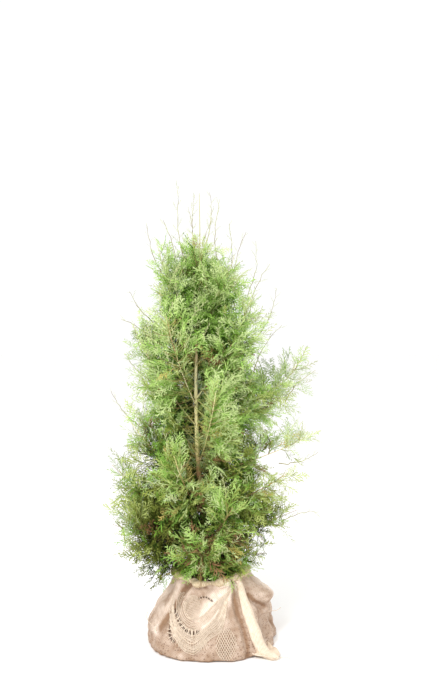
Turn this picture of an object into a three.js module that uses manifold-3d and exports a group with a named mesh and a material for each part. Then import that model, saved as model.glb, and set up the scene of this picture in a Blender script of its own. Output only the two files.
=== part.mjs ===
// A young thuja with its root ball wrapped in burlap, as a garden centre sells it.
// Millimetres, +Z up. The origin is the centre of the wrapped ball's flat underside,
// -Y is the plant's front, and +X is to the right of a viewer who looks along +Y.
//
// The plant is one trunk, a table of boughs that rise from it in tiers, and one plume of
// foliage on each bough, with one more plume round the leader. Under it are the ball of
// soil, the burlap sack round the soil, two thick folds of the cloth and a loose corner.

import * as THREE from "three";
import { mergeVertices } from "three/addons/utils/BufferGeometryUtils.js";
import Module from "manifold-3d";

const wasm = await Module();
wasm.setup();

// ---------------------------------------------------------------- driving dimensions

const FIT_GAP = 0.3; // between two solids that touch
const PLUME_GAP = 4; // between neighbouring plumes of foliage

// The wrapped root ball: outer radius of the sack at a few heights, foot to rim.
const SACK_PROFILE = [
  { z: 0, r: 192 },
  { z: 8, r: 199 },
  { z: 30, r: 198 },
  { z: 62, r: 187 },
  { z: 95, r: 166 },
  { z: 128, r: 143 },
  { z: 160, r: 120 },
  { z: 192, r: 110 },
  { z: 208, r: 116 },
];
const SACK_WALL = 3;
const SACK_SIDES = 24;
const SACK_PLEATS = 6; // shallow pleats that gather the cloth towards the rim
const PLEAT_DEPTH = 0.05; // share of the radius, at the rim
const SACK_DEPTH = -0.042; // how much narrower it is from side to side than front to back
const SACK_LUMPS = { count: 5, depth: 0.01, turn: 1.1 }; // its slow unevenness all round
const SACK_SQUARE = 2.5; // the foot's outline: 2 is round, more is a square with round corners
const SACK_PUFF = { turn: -4, height: 128, rise: 26, wide: 36, high: 38 }; // loose cloth, on the right
const SOIL_TOP = 192; // the flat top of the soil, inside the rim

// The trunk leans a little to the left above the ball and then stands upright. Its path
// starts inside the soil and is cut off flat on the soil's top.
const TRUNK_PATH = [
  [8, -2, SOIL_TOP - 40],
  [-20, 5, 330],
  [-40, 3, 520],
  [-46, -4, 760],
  [-38, -5, 1010],
  [-34, 0, 1180],
  [-36, 3, 1316],
];
const TRUNK = { base: 10.2, tip: 1.3, flare: 7, flareHeight: 22, sides: 8, steps: 16 };

// How a bough and its plume are made from one row of the table of boughs.
const BOUGH = {
  baseShare: 0.5, // of the trunk's radius where it starts
  tip: 1.8,
  sides: 5,
  steps: 3,
  socket: 0.07, // how much of its path lies inside its plume
  elbow: { reach: 0.58, rise: 0.4 }, // the point that its path bends towards
};
const PLUME = {
  start: 0.14, // share of the bough's path where the foliage starts
  sides: 8,
  rings: 6,
  thickness: 0.82, // of its width
  taper: 0.25, // how much slimmer the tip is than the middle
  uneven: 0.2, // relief of its surface, as a share of its radius
  stretch: 0.05, // relief along it, as a share of its length
};

// One row for each bough: from is its height on the trunk, turn its direction in degrees
// from +X towards +Y, reach and top say where its plume ends, and width is the plume's.
const BOUGHS = [
  { name: "low_left", from: 226, turn: 193, reach: 238, top: 232, width: 144 },
  { name: "low_front", from: 238, turn: 258, reach: 162, top: 300, width: 174 },
  { name: "low_right", from: 232, turn: 342, reach: 172, top: 262, width: 140 },
  { name: "low_back", from: 240, turn: 84, reach: 200, top: 292, width: 184 },
  { name: "skirt_left", from: 262, turn: 202, reach: 304, top: 366, width: 154 },
  { name: "skirt_back_left", from: 276, turn: 143, reach: 258, top: 402, width: 176 },
  { name: "skirt_front", from: 285, turn: 292, reach: 192, top: 424, width: 186 },
  { name: "skirt_right", from: 290, turn: 3, reach: 272, top: 372, width: 150 },
  { name: "skirt_back_right", from: 300, turn: 48, reach: 236, top: 418, width: 174 },
  { name: "mid_left", from: 330, turn: 178, reach: 280, top: 510, width: 162 },
  { name: "mid_front", from: 352, turn: 246, reach: 194, top: 566, width: 194 },
  { name: "mid_right", from: 372, turn: 334, reach: 268, top: 508, width: 164 },
  { name: "mid_back", from: 385, turn: 100, reach: 226, top: 580, width: 196 },
  { name: "waist_left", from: 440, turn: 189, reach: 224, top: 668, width: 172 },
  { name: "waist_right", from: 478, turn: 354, reach: 360, top: 622, width: 150 },
  { name: "waist_back_right", from: 492, turn: 42, reach: 226, top: 748, width: 176 },
  { name: "waist_front", from: 510, turn: 288, reach: 180, top: 762, width: 194 },
  { name: "waist_back_left", from: 540, turn: 134, reach: 208, top: 782, width: 188 },
  { name: "high_right", from: 592, turn: 9, reach: 328, top: 830, width: 168 },
  { name: "high_left", from: 630, turn: 177, reach: 192, top: 936, width: 184 },
  { name: "high_front", from: 690, turn: 240, reach: 164, top: 968, width: 176 },
  { name: "high_front_right", from: 712, turn: 328, reach: 188, top: 1004, width: 184 },
  { name: "high_back", from: 735, turn: 90, reach: 182, top: 1004, width: 188 },
  { name: "top_left", from: 850, turn: 196, reach: 120, top: 1176, width: 144 },
  { name: "top_right", from: 880, turn: 340, reach: 118, top: 1136, width: 146 },
  { name: "top_back", from: 914, turn: 76, reach: 124, top: 1172, width: 142 },
];
// The plume round the leader, which is as wide as it is thick.
const LEADER_PLUME = { from: 985, top: 1212, width: 146 };

const COLOURS = {
  bark: 0x8f7350,
  foliage: 0x7f9f4c,
  burlap: 0xd2b48c,
  soil: 0x4a3526,
};

// ---------------------------------------------------------------- helpers

const radians = THREE.MathUtils.degToRad;
const mix = THREE.MathUtils.lerp;
const UP = new THREE.Vector3(0, 0, 1);

const finish = (color, roughness) => new THREE.MeshStandardMaterial({ color, roughness, metalness: 0 });
const bark = finish(COLOURS.bark, 0.85);
const foliage = finish(COLOURS.foliage, 0.6);
const burlap = finish(COLOURS.burlap, 0.95);
const soil = finish(COLOURS.soil, 1);

function solidOf(geometry) {
  const shape = geometry.clone();
  shape.deleteAttribute("normal");
  shape.deleteAttribute("uv");
  const merged = mergeVertices(shape, 1e-3);
  return new wasm.Manifold(
    new wasm.Mesh({
      numProp: 3,
      vertProperties: new Float32Array(merged.attributes.position.array),
      triVerts: new Uint32Array(merged.index.array),
    }),
  );
}

function geometryOf(solid) {
  const { vertProperties, triVerts } = solid.getMesh();
  const geometry = new THREE.BufferGeometry();
  geometry.setAttribute("position", new THREE.BufferAttribute(new Float32Array(vertProperties), 3));
  geometry.setIndex(new THREE.BufferAttribute(new Uint32Array(triVerts), 1));
  geometry.computeVertexNormals();
  return geometry;
}

// The largest of the bodies that a cut has left.
const largest = (solid) => solid.decompose().sort((a, b) => b.volume() - a.volume())[0];

// Moves every point of a geometry to where place(point) says.
function reshape(geometry, place) {
  const position = geometry.getAttribute("position");
  const point = new THREE.Vector3();
  for (let i = 0; i < position.count; i++) {
    place(point.fromBufferAttribute(position, i));
    position.setXYZ(i, point.x, point.y, point.z);
  }
  return geometry;
}

// Unit vectors across a path, the second one as near to upright as the path allows.
function across(path, t) {
  const along = path.getTangent(t);
  const side = new THREE.Vector3().crossVectors(along, UP);
  if (side.length() < 0.2) side.set(1, 0, 0).addScaledVector(along, -along.x);
  side.normalize();
  return { along, side, over: new THREE.Vector3().crossVectors(side, along) };
}

// A round tapering limb along a path: a closed cylinder bent to it. radiusAt(t) gives its
// radius, and extra makes it thicker and longer all round.
function limb(path, radiusAt, { sides, steps }, extra = 0) {
  const cylinder = new THREE.CylinderGeometry(1, 1, 1, sides, steps);
  return solidOf(
    reshape(cylinder, (p) => {
      const t = THREE.MathUtils.clamp(p.y + 0.5, 0, 1);
      const { along, side, over } = across(path, t);
      const r = radiusAt(t) + extra;
      const beyond = t === 0 ? -extra : t === 1 ? extra : 0;
      const [a, b] = [p.x * r, p.z * r];
      p.copy(path.getPoint(t))
        .addScaledVector(side, a)
        .addScaledVector(over, b)
        .addScaledVector(along, beyond);
    }),
  );
}

// ---------------------------------------------------------------- trunk

const trunkPath = new THREE.CatmullRomCurve3(TRUNK_PATH.map((p) => new THREE.Vector3(...p)));
const TRUNK_FOOT = SOIL_TOP + FIT_GAP;
const TRUNK_TOP = TRUNK_PATH.at(-1)[2];

function trunkRadius(z) {
  const height = Math.max(z - TRUNK_FOOT, 0);
  const share = height / (TRUNK_TOP - TRUNK_FOOT);
  return mix(TRUNK.base, TRUNK.tip, share) + TRUNK.flare * Math.exp(-height / TRUNK.flareHeight);
}

function trunk(extra = 0) {
  const radiusAt = (t) => trunkRadius(trunkPath.getPoint(t).z);
  const whole = limb(trunkPath, radiusAt, TRUNK, extra);
  return whole.trimByPlane([0, 0, 1], TRUNK_FOOT - extra);
}

// The point of the trunk's centre line at a height.
function trunkAt(height) {
  let [low, high] = [0, 1];
  for (let i = 0; i < 30; i++) {
    const middle = (low + high) / 2;
    if (trunkPath.getPoint(middle).z < height) low = middle;
    else high = middle;
  }
  return trunkPath.getPoint(low);
}

// ---------------------------------------------------------------- boughs and plumes

// A bough leaves the trunk outwards and then turns up towards its tip.
function boughPath({ from, turn, reach, top }) {
  const centre = trunkAt(from);
  const out = new THREE.Vector3(Math.cos(radians(turn)), Math.sin(radians(turn)), 0);
  const rise = top - from;
  const { elbow: bend } = BOUGH;
  const elbow = centre.clone().addScaledVector(out, reach * bend.reach).setZ(from + rise * bend.rise);
  const tip = centre.clone().addScaledVector(out, reach).setZ(top);
  return new THREE.QuadraticBezierCurve3(centre, elbow, tip);
}

// The stretch of a path between two shares of it, as a path of its own.
class Stretch extends THREE.Curve {
  constructor(whole, start, end) {
    super();
    Object.assign(this, { whole, start, end });
  }
  getPoint(t, target = new THREE.Vector3()) {
    return this.whole.getPoint(mix(this.start, this.end, t), target);
  }
}

function bough(row, extra = 0) {
  const base = trunkRadius(row.from) * BOUGH.baseShare;
  const path = new Stretch(boughPath(row), 0, PLUME.start + BOUGH.socket);
  return limb(path, (t) => mix(base, BOUGH.tip, t), BOUGH, extra);
}

// The waves that make a plume's surface uneven: how close, which way, and how strong.
const WAVES = [
  { pitch: 3.1, way: new THREE.Vector3(1, 0.4, -0.6), weight: 0.42 },
  { pitch: 4.3, way: new THREE.Vector3(-0.5, 1, 0.5), weight: 0.42 },
  { pitch: 6.2, way: new THREE.Vector3(0.3, -0.7, 1), weight: 0.33 },
];
const WAVE_SHIFT = 1.7; // what a seed adds to a wave's pitch

// Slow waves over a unit direction, between about -1 and 1, different for each seed.
function waves(direction, seed) {
  const heights = WAVES.map(
    ({ pitch, way, weight }) => weight * Math.sin(pitch * way.dot(direction) + seed * (pitch + WAVE_SHIFT)),
  );
  return heights.reduce((sum, height) => sum + height, 0);
}

// A plume: a sphere stretched along a path, slimmer towards its tip, with an uneven surface.
function plume(path, width, thickness, seed, extra = 0) {
  const sphere = new THREE.SphereGeometry(1, PLUME.sides, PLUME.rings);
  const length = path.getLength();
  return solidOf(
    reshape(sphere, (p) => {
      const relief = 1 + PLUME.uneven * waves(p, seed);
      const slim = 1 - PLUME.taper * p.y;
      const share = THREE.MathUtils.clamp((p.y + 1) / 2, 0, 1);
      const { along, side, over } = across(path, share);
      const a = p.x * ((width / 2) * relief * slim + extra);
      const b = p.z * ((thickness / 2) * relief * slim + extra);
      const beyond = p.y * (extra + length * PLUME.stretch * waves(p, seed + 2));
      p.copy(path.getPoint(share))
        .addScaledVector(side, a)
        .addScaledVector(over, b)
        .addScaledVector(along, beyond);
    }),
  );
}

function boughPlume(row, seed, extra = 0) {
  const path = new Stretch(boughPath(row), PLUME.start, 1);
  return plume(path, row.width, row.width * PLUME.thickness, seed, extra);
}

function leaderPlume(extra = 0) {
  const { from, top, width } = LEADER_PLUME;
  const path = new THREE.LineCurve3(trunkAt(from), trunkAt(top));
  return plume(path, width, width, BOUGHS.length, extra);
}

// ---------------------------------------------------------------- root ball and burlap

const RIM = SACK_PROFILE.at(-1).z;

function sackRadius(height) {
  const z = THREE.MathUtils.clamp(height, 0, RIM);
  const above = Math.max(SACK_PROFILE.findIndex((p) => p.z >= z), 1);
  const [low, high] = [SACK_PROFILE[above - 1], SACK_PROFILE[above]];
  return mix(low.r, high.r, (z - low.z) / (high.z - low.z));
}

// How much further out than a circle the foot's outline lies in one direction.
function squareness(angle) {
  const sum = Math.abs(Math.cos(angle)) ** SACK_SQUARE + Math.abs(Math.sin(angle)) ** SACK_SQUARE;
  return sum ** (-1 / SACK_SQUARE);
}

// How far the loose cloth stands out in one direction at one height.
function puffAt(angle, height) {
  const { turn, height: middle, rise, wide, high } = SACK_PUFF;
  const off = Math.atan2(Math.sin(angle - radians(turn)), Math.cos(angle - radians(turn)));
  return rise * Math.exp(-((off / radians(wide)) ** 2) - ((height - middle) / high) ** 2);
}

// How many times further out than its profile the sack's side lies.
function swellAt(angle, height) {
  const share = THREE.MathUtils.clamp(height / RIM, 0, 1);
  const pleat = PLEAT_DEPTH * share * share * Math.cos(SACK_PLEATS * angle);
  const lump = SACK_LUMPS.depth * Math.sin(SACK_LUMPS.count * angle + SACK_LUMPS.turn);
  const puff = puffAt(angle, height) / sackRadius(height);
  const square = mix(squareness(angle), 1, share);
  return square * (1 + pleat + SACK_DEPTH * Math.cos(2 * angle) + lump + puff);
}

// Points of the sack's side between two heights, moved inwards by inset.
function sidePoints(inset, floor, top) {
  const between = SACK_PROFILE.map((p) => p.z).filter((z) => z > floor + 1 && z < top - 1);
  return [floor, ...between, top].map((z) => ({ r: sackRadius(z) - inset, z }));
}

// A turned solid with the sack's own lumps and pleats, from points of { r, z } that start
// and end on the axis.
function turned(points) {
  const profile = points.map(({ r, z }) => new THREE.Vector2(r, z));
  return solidOf(
    reshape(new THREE.LatheGeometry(profile, SACK_SIDES), (p) => {
      const swell = swellAt(Math.atan2(-p.z, p.x), p.y);
      p.set(p.x * swell, -p.z * swell, p.y);
    }),
  );
}

// A closed solid with the sack's side, moved inwards by inset, between two heights.
function ballSolid(inset, floor, top) {
  return turned([{ r: 0, z: floor }, ...sidePoints(inset, floor, top), { r: 0, z: top }]);
}

// The sack is open at the top, and the soil fills it to just below the rim. A cut starts or
// ends this far outside what it cuts.
const CUT_MARGIN = 20;
const sack = () => ballSolid(0, 0, RIM).subtract(ballSolid(SACK_WALL, SACK_WALL, RIM + CUT_MARGIN));
const soilBall = () => ballSolid(SACK_WALL + FIT_GAP, SACK_WALL + FIT_GAP, SOIL_TOP);

// The space that the wrapped ball takes, with the gap that other solids keep to it.
const sackSpace = ballSolid(-FIT_GAP, -CUT_MARGIN, RIM + FIT_GAP);

// Thick folds of the cloth that run down the sack's side, each from one direction at the
// rim to another at the foot.
const FOLDS = {
  burlap_fold_right: { topTurn: -56, footTurn: -47, width: 42, rise: 9, top: 200, foot: 8 },
  burlap_fold_left: { topTurn: -134, footTurn: -150, width: 34, rise: 7, top: 198, foot: 60 },
};
const FOLD_STEPS = 6;
const FOLD_SWELL = { foot: 0.85, top: 0.15 }; // the part of a half wave that its width follows

function fold({ topTurn, footTurn, width, rise, top, foot }, extra = 0) {
  const points = [];
  for (let i = 0; i <= FOLD_STEPS; i++) {
    const z = mix(foot, top, i / FOLD_STEPS);
    const turn = radians(mix(footTurn, topTurn, i / FOLD_STEPS));
    const out = sackRadius(z) * swellAt(turn, z);
    points.push(new THREE.Vector3(out * Math.cos(turn), out * Math.sin(turn), z));
  }
  const path = new THREE.CatmullRomCurve3(points);
  const radiusAt = (t) => mix(rise, width / 2, Math.sin(Math.PI * mix(FOLD_SWELL.foot, FOLD_SWELL.top, t)));
  return limb(path, radiusAt, { sides: 6, steps: FOLD_STEPS }, extra);
}

// The loose corner of the cloth, which lies on the ground to the right of the front.
// It starts inside the sack, and thins from where it leaves it to its tip.
const CORNER = { turn: -46, start: 120, leaves: 205, reach: 276, width: 96, height: 16, thinned: 0.45 };

function looseCorner() {
  const { turn, start, leaves, reach, width, height, thinned } = CORNER;
  const tongue = new THREE.Shape()
    .moveTo(start, -width / 2)
    .quadraticCurveTo(reach * 0.9, -width * 0.42, reach, -width * 0.1)
    .quadraticCurveTo(reach, width * 0.16, reach * 0.93, width * 0.24)
    .quadraticCurveTo(reach * 0.8, width / 2, start, width / 2);
  const slab = new THREE.ExtrudeGeometry(tongue, { depth: height, curveSegments: 5, bevelEnabled: false });
  slab.rotateZ(radians(turn));
  reshape(slab, (p) => {
    const far = THREE.MathUtils.clamp((Math.hypot(p.x, p.y) - leaves) / (reach - leaves), 0, 1);
    p.z = FIT_GAP + p.z * mix(1, thinned, far);
  });
  return solidOf(slab);
}

// ---------------------------------------------------------------- the whole plant

const plant = new THREE.Group();

function add(name, solid, material) {
  const mesh = new THREE.Mesh(geometryOf(solid), material);
  mesh.name = name;
  plant.add(mesh);
}

add("root_ball", soilBall(), soil);
add("burlap_wrap", sack(), burlap);
for (const [name, sizes] of Object.entries(FOLDS)) {
  add(name, largest(fold(sizes).subtract(sackSpace).trimByPlane([0, 0, 1], FIT_GAP)), burlap);
}
const foldSpace = Object.values(FOLDS).map((sizes) => fold(sizes, FIT_GAP));
const wrapSpace = wasm.Manifold.union([sackSpace, ...foldSpace]);
add("burlap_corner", largest(looseCorner().subtract(wrapSpace)), burlap);

add("trunk", trunk(), bark);
const fatTrunk = trunk(FIT_GAP);
for (const row of BOUGHS) {
  add("bough_" + row.name, largest(bough(row).subtract(fatTrunk)), bark);
}

// Each plume is cut clear of the trunk, of every bough, of the sack, and of the plumes
// made before it.
const limbSpace = wasm.Manifold.union([fatTrunk, ...BOUGHS.map((row) => bough(row, FIT_GAP))]);
let taken = wrapSpace.add(leaderPlume(PLUME_GAP));
add("foliage_leader", largest(leaderPlume().subtract(limbSpace)), foliage);
BOUGHS.forEach((row, i) => {
  add("foliage_" + row.name, largest(boughPlume(row, i).subtract(limbSpace).subtract(taken)), foliage);
  taken = taken.add(boughPlume(row, i, PLUME_GAP));
});

export default plant;
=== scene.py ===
# %% [markdown]
# # A young thuja on its wrapped root ball
#
# A garden centre sells hedging thujas like this one: dug from the field with a ball of soil,
# which is wrapped in burlap and stands flat on the ground. The imported model gives every solid
# at its real size. This script keeps each of them as a guide and grows the looks over it:
# bark on the trunk and boughs, flat sprays of scale leaves in place of each mass of foliage,
# and woven cloth, with its pulled threads as real ones, in place of the wrap.

# %% The imported model
import math

import bpy
import numpy as np
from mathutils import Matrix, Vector
from mathutils.bvhtree import BVHTree


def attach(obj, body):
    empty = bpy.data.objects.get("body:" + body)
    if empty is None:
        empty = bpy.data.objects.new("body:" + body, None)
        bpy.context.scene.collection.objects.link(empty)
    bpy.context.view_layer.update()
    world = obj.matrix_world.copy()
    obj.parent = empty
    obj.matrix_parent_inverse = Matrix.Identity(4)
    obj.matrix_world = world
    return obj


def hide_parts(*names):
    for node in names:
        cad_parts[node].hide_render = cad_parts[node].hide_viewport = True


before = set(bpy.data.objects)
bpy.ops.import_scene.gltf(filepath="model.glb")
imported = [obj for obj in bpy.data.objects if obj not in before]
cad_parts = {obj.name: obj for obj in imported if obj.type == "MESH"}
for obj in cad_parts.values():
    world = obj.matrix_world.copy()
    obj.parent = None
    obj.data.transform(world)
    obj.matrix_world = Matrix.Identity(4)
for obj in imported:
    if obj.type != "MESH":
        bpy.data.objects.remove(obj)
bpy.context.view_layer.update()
MM = 0.001
SEED = 7
NODES = list(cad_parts)

# %% [markdown]
# ## Small helpers
#
# Colours are written as the sRGB hex values a colour picker shows, and one function turns
# them to the linear values that Blender's nodes expect. Another one adds a shader node with
# its settings and its links in a single call, so that a material reads like a recipe.

# %% Helpers for colours, nodes and objects


def linear(code):
    """An sRGB hex colour such as "#87A04B" as linear RGBA."""
    parts = [int(code[i : i + 2], 16) / 255 for i in (1, 3, 5)]
    return (*[c / 12.92 if c < 0.04045 else ((c + 0.055) / 1.055) ** 2.4 for c in parts], 1)


def add_node(tree, kind, settings=None, inputs=None):
    """Adds a node: settings are its properties, and inputs are values or other nodes' sockets."""
    node = tree.nodes.new(kind)
    for key, value in (settings or {}).items():
        setattr(node, key, value)
    for key, value in (inputs or {}).items():
        if isinstance(value, bpy.types.NodeSocket):
            tree.links.new(value, node.inputs[key])
        else:
            node.inputs[key].default_value = value
    return node


def new_material(name, roughness, ior=1.45, colour=None):
    """A material with one Principled shader, and its tree and shader to add patterns to."""
    material = bpy.data.materials.new(name)
    material.use_nodes = True
    tree = material.node_tree
    shader = tree.nodes["Principled BSDF"]
    shader.inputs["Roughness"].default_value = roughness
    shader.inputs["IOR"].default_value = ior
    if colour:
        shader.inputs["Base Color"].default_value = linear(colour)
    return material, tree, shader


def object_from_arrays(name, points, triangles, materials, indices=None, smooth=False):
    """One mesh object from numpy arrays of points and triangles."""
    mesh = bpy.data.meshes.new(name)
    mesh.vertices.add(len(points))
    mesh.vertices.foreach_set("co", np.asarray(points, np.float32).ravel())
    mesh.loops.add(3 * len(triangles))
    mesh.loops.foreach_set("vertex_index", np.asarray(triangles, np.int32).ravel())
    mesh.polygons.add(len(triangles))
    mesh.polygons.foreach_set("loop_start", np.arange(0, 3 * len(triangles), 3, dtype=np.int32))
    mesh.polygons.foreach_set("use_smooth", np.full(len(triangles), smooth))
    for material in materials:
        mesh.materials.append(material)
    if indices is not None:
        mesh.polygons.foreach_set("material_index", np.asarray(indices, np.int32))
    mesh.update(calc_edges=True)
    made = bpy.data.objects.new(name, mesh)
    bpy.context.collection.objects.link(made)
    return made


def unit(v):
    """Vectors scaled to length 1, along the last axis."""
    v = np.asarray(v, float)
    return v / np.maximum(np.linalg.norm(v, axis=-1, keepdims=True), 1e-12)


# %% [markdown]
# ## Camera, floor and light
#
# The plant is seen from the height of its shoulders, from about two and a half metres, with
# a slightly long lens. The floor and the light are a plain pale studio: a white surround,
# one large soft lamp from the upper left and a weaker one from the right.

# %% Camera, floor and lamps
EYE = Vector((0.0237, -2.455, 0.98))
PITCH_DOWN = 2.9
LENS = 42.7
# The surround is a little brighter than white, so that it stays white behind the plant.
SURROUND = 1.05
# The floor lies a hair below the plant's foot, so that no two faces share a plane.
FLOOR_SIZE, FLOOR_DROP = 30, 0.0005
camera = bpy.data.objects.new("camera", bpy.data.cameras.new("camera"))
camera.data.lens = LENS
camera.location = EYE
camera.rotation_euler = (math.radians(90 - PITCH_DOWN), 0, 0)
bpy.context.collection.objects.link(camera)
bpy.context.scene.camera = camera

world = bpy.data.worlds.new("studio")
world.use_nodes = True
world.node_tree.nodes["Background"].inputs["Color"].default_value = (1, 1, 1, 1)
world.node_tree.nodes["Background"].inputs["Strength"].default_value = SURROUND
bpy.context.scene.world = world
bpy.context.scene.view_settings.view_transform = "Standard"

bpy.ops.mesh.primitive_plane_add(size=FLOOR_SIZE, location=(0, 0, -FLOOR_DROP))
floor = bpy.context.object
floor.name = "studio_floor"
# Painted board, quite matt: it shows no reflection, only a soft shadow.
floor_finish, _, _ = new_material("pale matt floor", 0.9, colour="#FBFAF9")
floor.data.materials.append(floor_finish)


def add_lamp(name, place, aim, size, power):
    """A square soft lamp that faces a point."""
    lamp = bpy.data.objects.new(name, bpy.data.lights.new(name, "AREA"))
    lamp.data.size = size
    lamp.data.energy = power
    lamp.location = place
    lamp.rotation_euler = (Vector(aim) - Vector(place)).to_track_quat("-Z", "Y").to_euler()
    bpy.context.collection.objects.link(lamp)
    return lamp


add_lamp("key_lamp", place=(-1.4, -2.4, 2.6), aim=(0, 0, 0.7), size=1.2, power=92)
add_lamp("fill_lamp", place=(2.2, -1.6, 1.6), aim=(0, 0, 0.6), size=1.6, power=22)
print("the eye is", round(EYE.length, 2), "metres from the foot of the plant")

# %% [markdown]
# ## Reading the solids
#
# A limb's solid is a row of rings. Its centre line is read back from those rings, so that
# the bark follows the model and no size is typed twice. A mass of foliage is read as a
# surface that a ray can be shot at, which tells a twig how far it may grow.

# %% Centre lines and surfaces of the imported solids


def corner_points(name):
    """The different corners of a solid, as an array."""
    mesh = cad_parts[name].data
    points = np.empty(3 * len(mesh.vertices))
    mesh.vertices.foreach_get("co", points)
    return np.unique(points.reshape(-1, 3).round(6), axis=0)


def rings(name, direction, gap):
    """Centres and radii of a limb's rings, sorted along a direction."""
    points = corner_points(name)
    along = points @ np.asarray(direction, float)
    order = np.argsort(along)
    points, along = points[order], along[order]
    groups = np.split(points, np.nonzero(np.diff(along) > gap)[0] + 1)
    centres = np.array([g.mean(0) for g in groups])
    radii = np.array([np.linalg.norm(g - g.mean(0), axis=1).mean() for g in groups])
    return centres, radii


def along_line(line):
    """The length that a line has run at each of its points."""
    return np.concatenate([[0], np.cumsum(np.linalg.norm(np.diff(line, axis=0), axis=1))])


def smooth_line(points, count):
    """A Catmull-Rom curve through points, sampled evenly by length."""
    p = np.vstack([2 * points[0] - points[1], points, 2 * points[-1] - points[-2]])
    t = np.linspace(0, 1, 12, endpoint=False)[:, None]
    parts = []
    for a, b, c, d in zip(p, p[1:], p[2:], p[3:]):
        square, cube = 2 * a - 5 * b + 4 * c - d, 3 * b - a - 3 * c + d
        parts.append(0.5 * (2 * b + (c - a) * t + square * t**2 + cube * t**3))
    fine = np.vstack([*parts, points[-1:]])
    lengths = along_line(fine)
    wanted = np.linspace(0, lengths[-1], count)
    return np.stack([np.interp(wanted, lengths, fine[:, i]) for i in range(3)], axis=1)


def surface_of(name):
    """A solid's surface, for shooting rays at."""
    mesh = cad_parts[name].data
    return BVHTree.FromPolygons([v.co for v in mesh.vertices], [p.vertices for p in mesh.polygons])


TRUNK_RING_GAP, BOUGH_RING_GAP = 0.02, 0.004
trunk_rings, trunk_radii = rings("trunk", (0, 0, 1), TRUNK_RING_GAP)
trunk_line = smooth_line(trunk_rings, 140)
print("trunk rings:", len(trunk_rings), "radii", (trunk_radii * 1000).round(1))


def trunk_point(height):
    """The trunk's centre at a height."""
    return np.array([np.interp(height, trunk_line[:, 2], trunk_line[:, i]) for i in range(3)])


# %% [markdown]
# ## Boughs
#
# Each bough leaves the trunk as one tapering limb and runs on inside its mass of foliage
# as the spine from which the side twigs grow. The spine bends from the bough's direction
# towards the tip of its mass.

# %% Boughs and their spines


def bough_and_spine(name):
    """A bough's line from the trunk to its head, its spine from there to the mass's tip, its radius."""
    points = corner_points("bough_" + name)
    axis = np.linalg.svd(points - points.mean(0))[2][0]
    foot_height = points[:, 2].min()
    axis = axis * np.sign((points.mean(0) - trunk_point(foot_height)) @ axis)
    centres, radii = rings("bough_" + name, axis, BOUGH_RING_GAP)
    head, before = centres[-1], centres[-2]
    way = unit(head - before)
    out = np.hypot(*(head - trunk_point(head[2]))[:2])
    climb = way[2] / max(np.hypot(*way[:2]), 0.2)
    start = trunk_point(head[2] - climb * out)
    mass = corner_points("foliage_" + name)
    tip = mass[np.argmax(np.linalg.norm(mass - start, axis=1))]
    reach = np.linalg.norm(tip - head)
    elbow = head + way * reach * 0.5
    t = np.linspace(0, 1, 24)[:, None]
    spine = (1 - t) ** 2 * head + 2 * t * (1 - t) * elbow + t**2 * (head + (tip - head) * 0.98)
    return np.array([start, (start + head) / 2, head]), spine, radii[-1]


BOUGH_NAMES = [n[len("bough_") :] for n in NODES if n.startswith("bough_")]
boughs = {name: bough_and_spine(name) for name in BOUGH_NAMES}
spans = [np.linalg.norm(spine[-1] - spine[0]) for _, spine, _ in boughs.values()]
print(len(boughs), "boughs; their spines are", round(min(spans), 3), "to", round(max(spans), 3), "m")

# %% [markdown]
# ## One spray of scale leaves
#
# A thuja's leaves are tiny scales pressed flat on branchlets that fork left and right in
# one plane, like a fern. At this size the scales can't be seen, so a spray is its
# branchlets: a flat main axis, side branchlets left and right by turns, and short ones on
# each of those. Every branchlet is a pointed blade of two to four triangles, tilted a
# little its own way so that it catches the light differently from its neighbours. A few
# dozen different sprays are grown by one rule and then used again and again.

# %% One blade


def add_blade(mesh, start, end, width, tilt, bend=0.0):
    """A pointed blade in the spray's plane: a kite, or with bend a bow of four triangles."""
    points, triangles = mesh
    along = end - start
    across = np.array([-along[1], along[0], 0.0]) / max(math.hypot(along[0], along[1]), 1e-9)
    half = across * (width / 2) + np.array([0, 0, tilt * width / 2])
    first = len(points)
    if bend == 0:
        wide = start + along * 0.45
        points += [start, wide + half, end, wide - half]
        triangles += [(first, first + 3, first + 1), (first + 3, first + 2, first + 1)]
        return
    sway = across * bend * math.hypot(along[0], along[1])
    near, far = start + along * 0.3 + sway * 0.7, start + along * 0.7 + sway * 0.8
    points += [start, near + half, near - half, far + half * 0.8, far - half * 0.8, end]
    faces = [(0, 2, 1), (2, 4, 1), (4, 3, 1), (4, 5, 3)]
    triangles += [tuple(first + i for i in face) for face in faces]


# %% [markdown]
# A spray is grown at length 1 and scaled when it is placed. Its branchlets are longest near
# a quarter of the way out and shrink to the tip, which gives the leaf-like outline.

# %% Growing one spray


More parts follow.
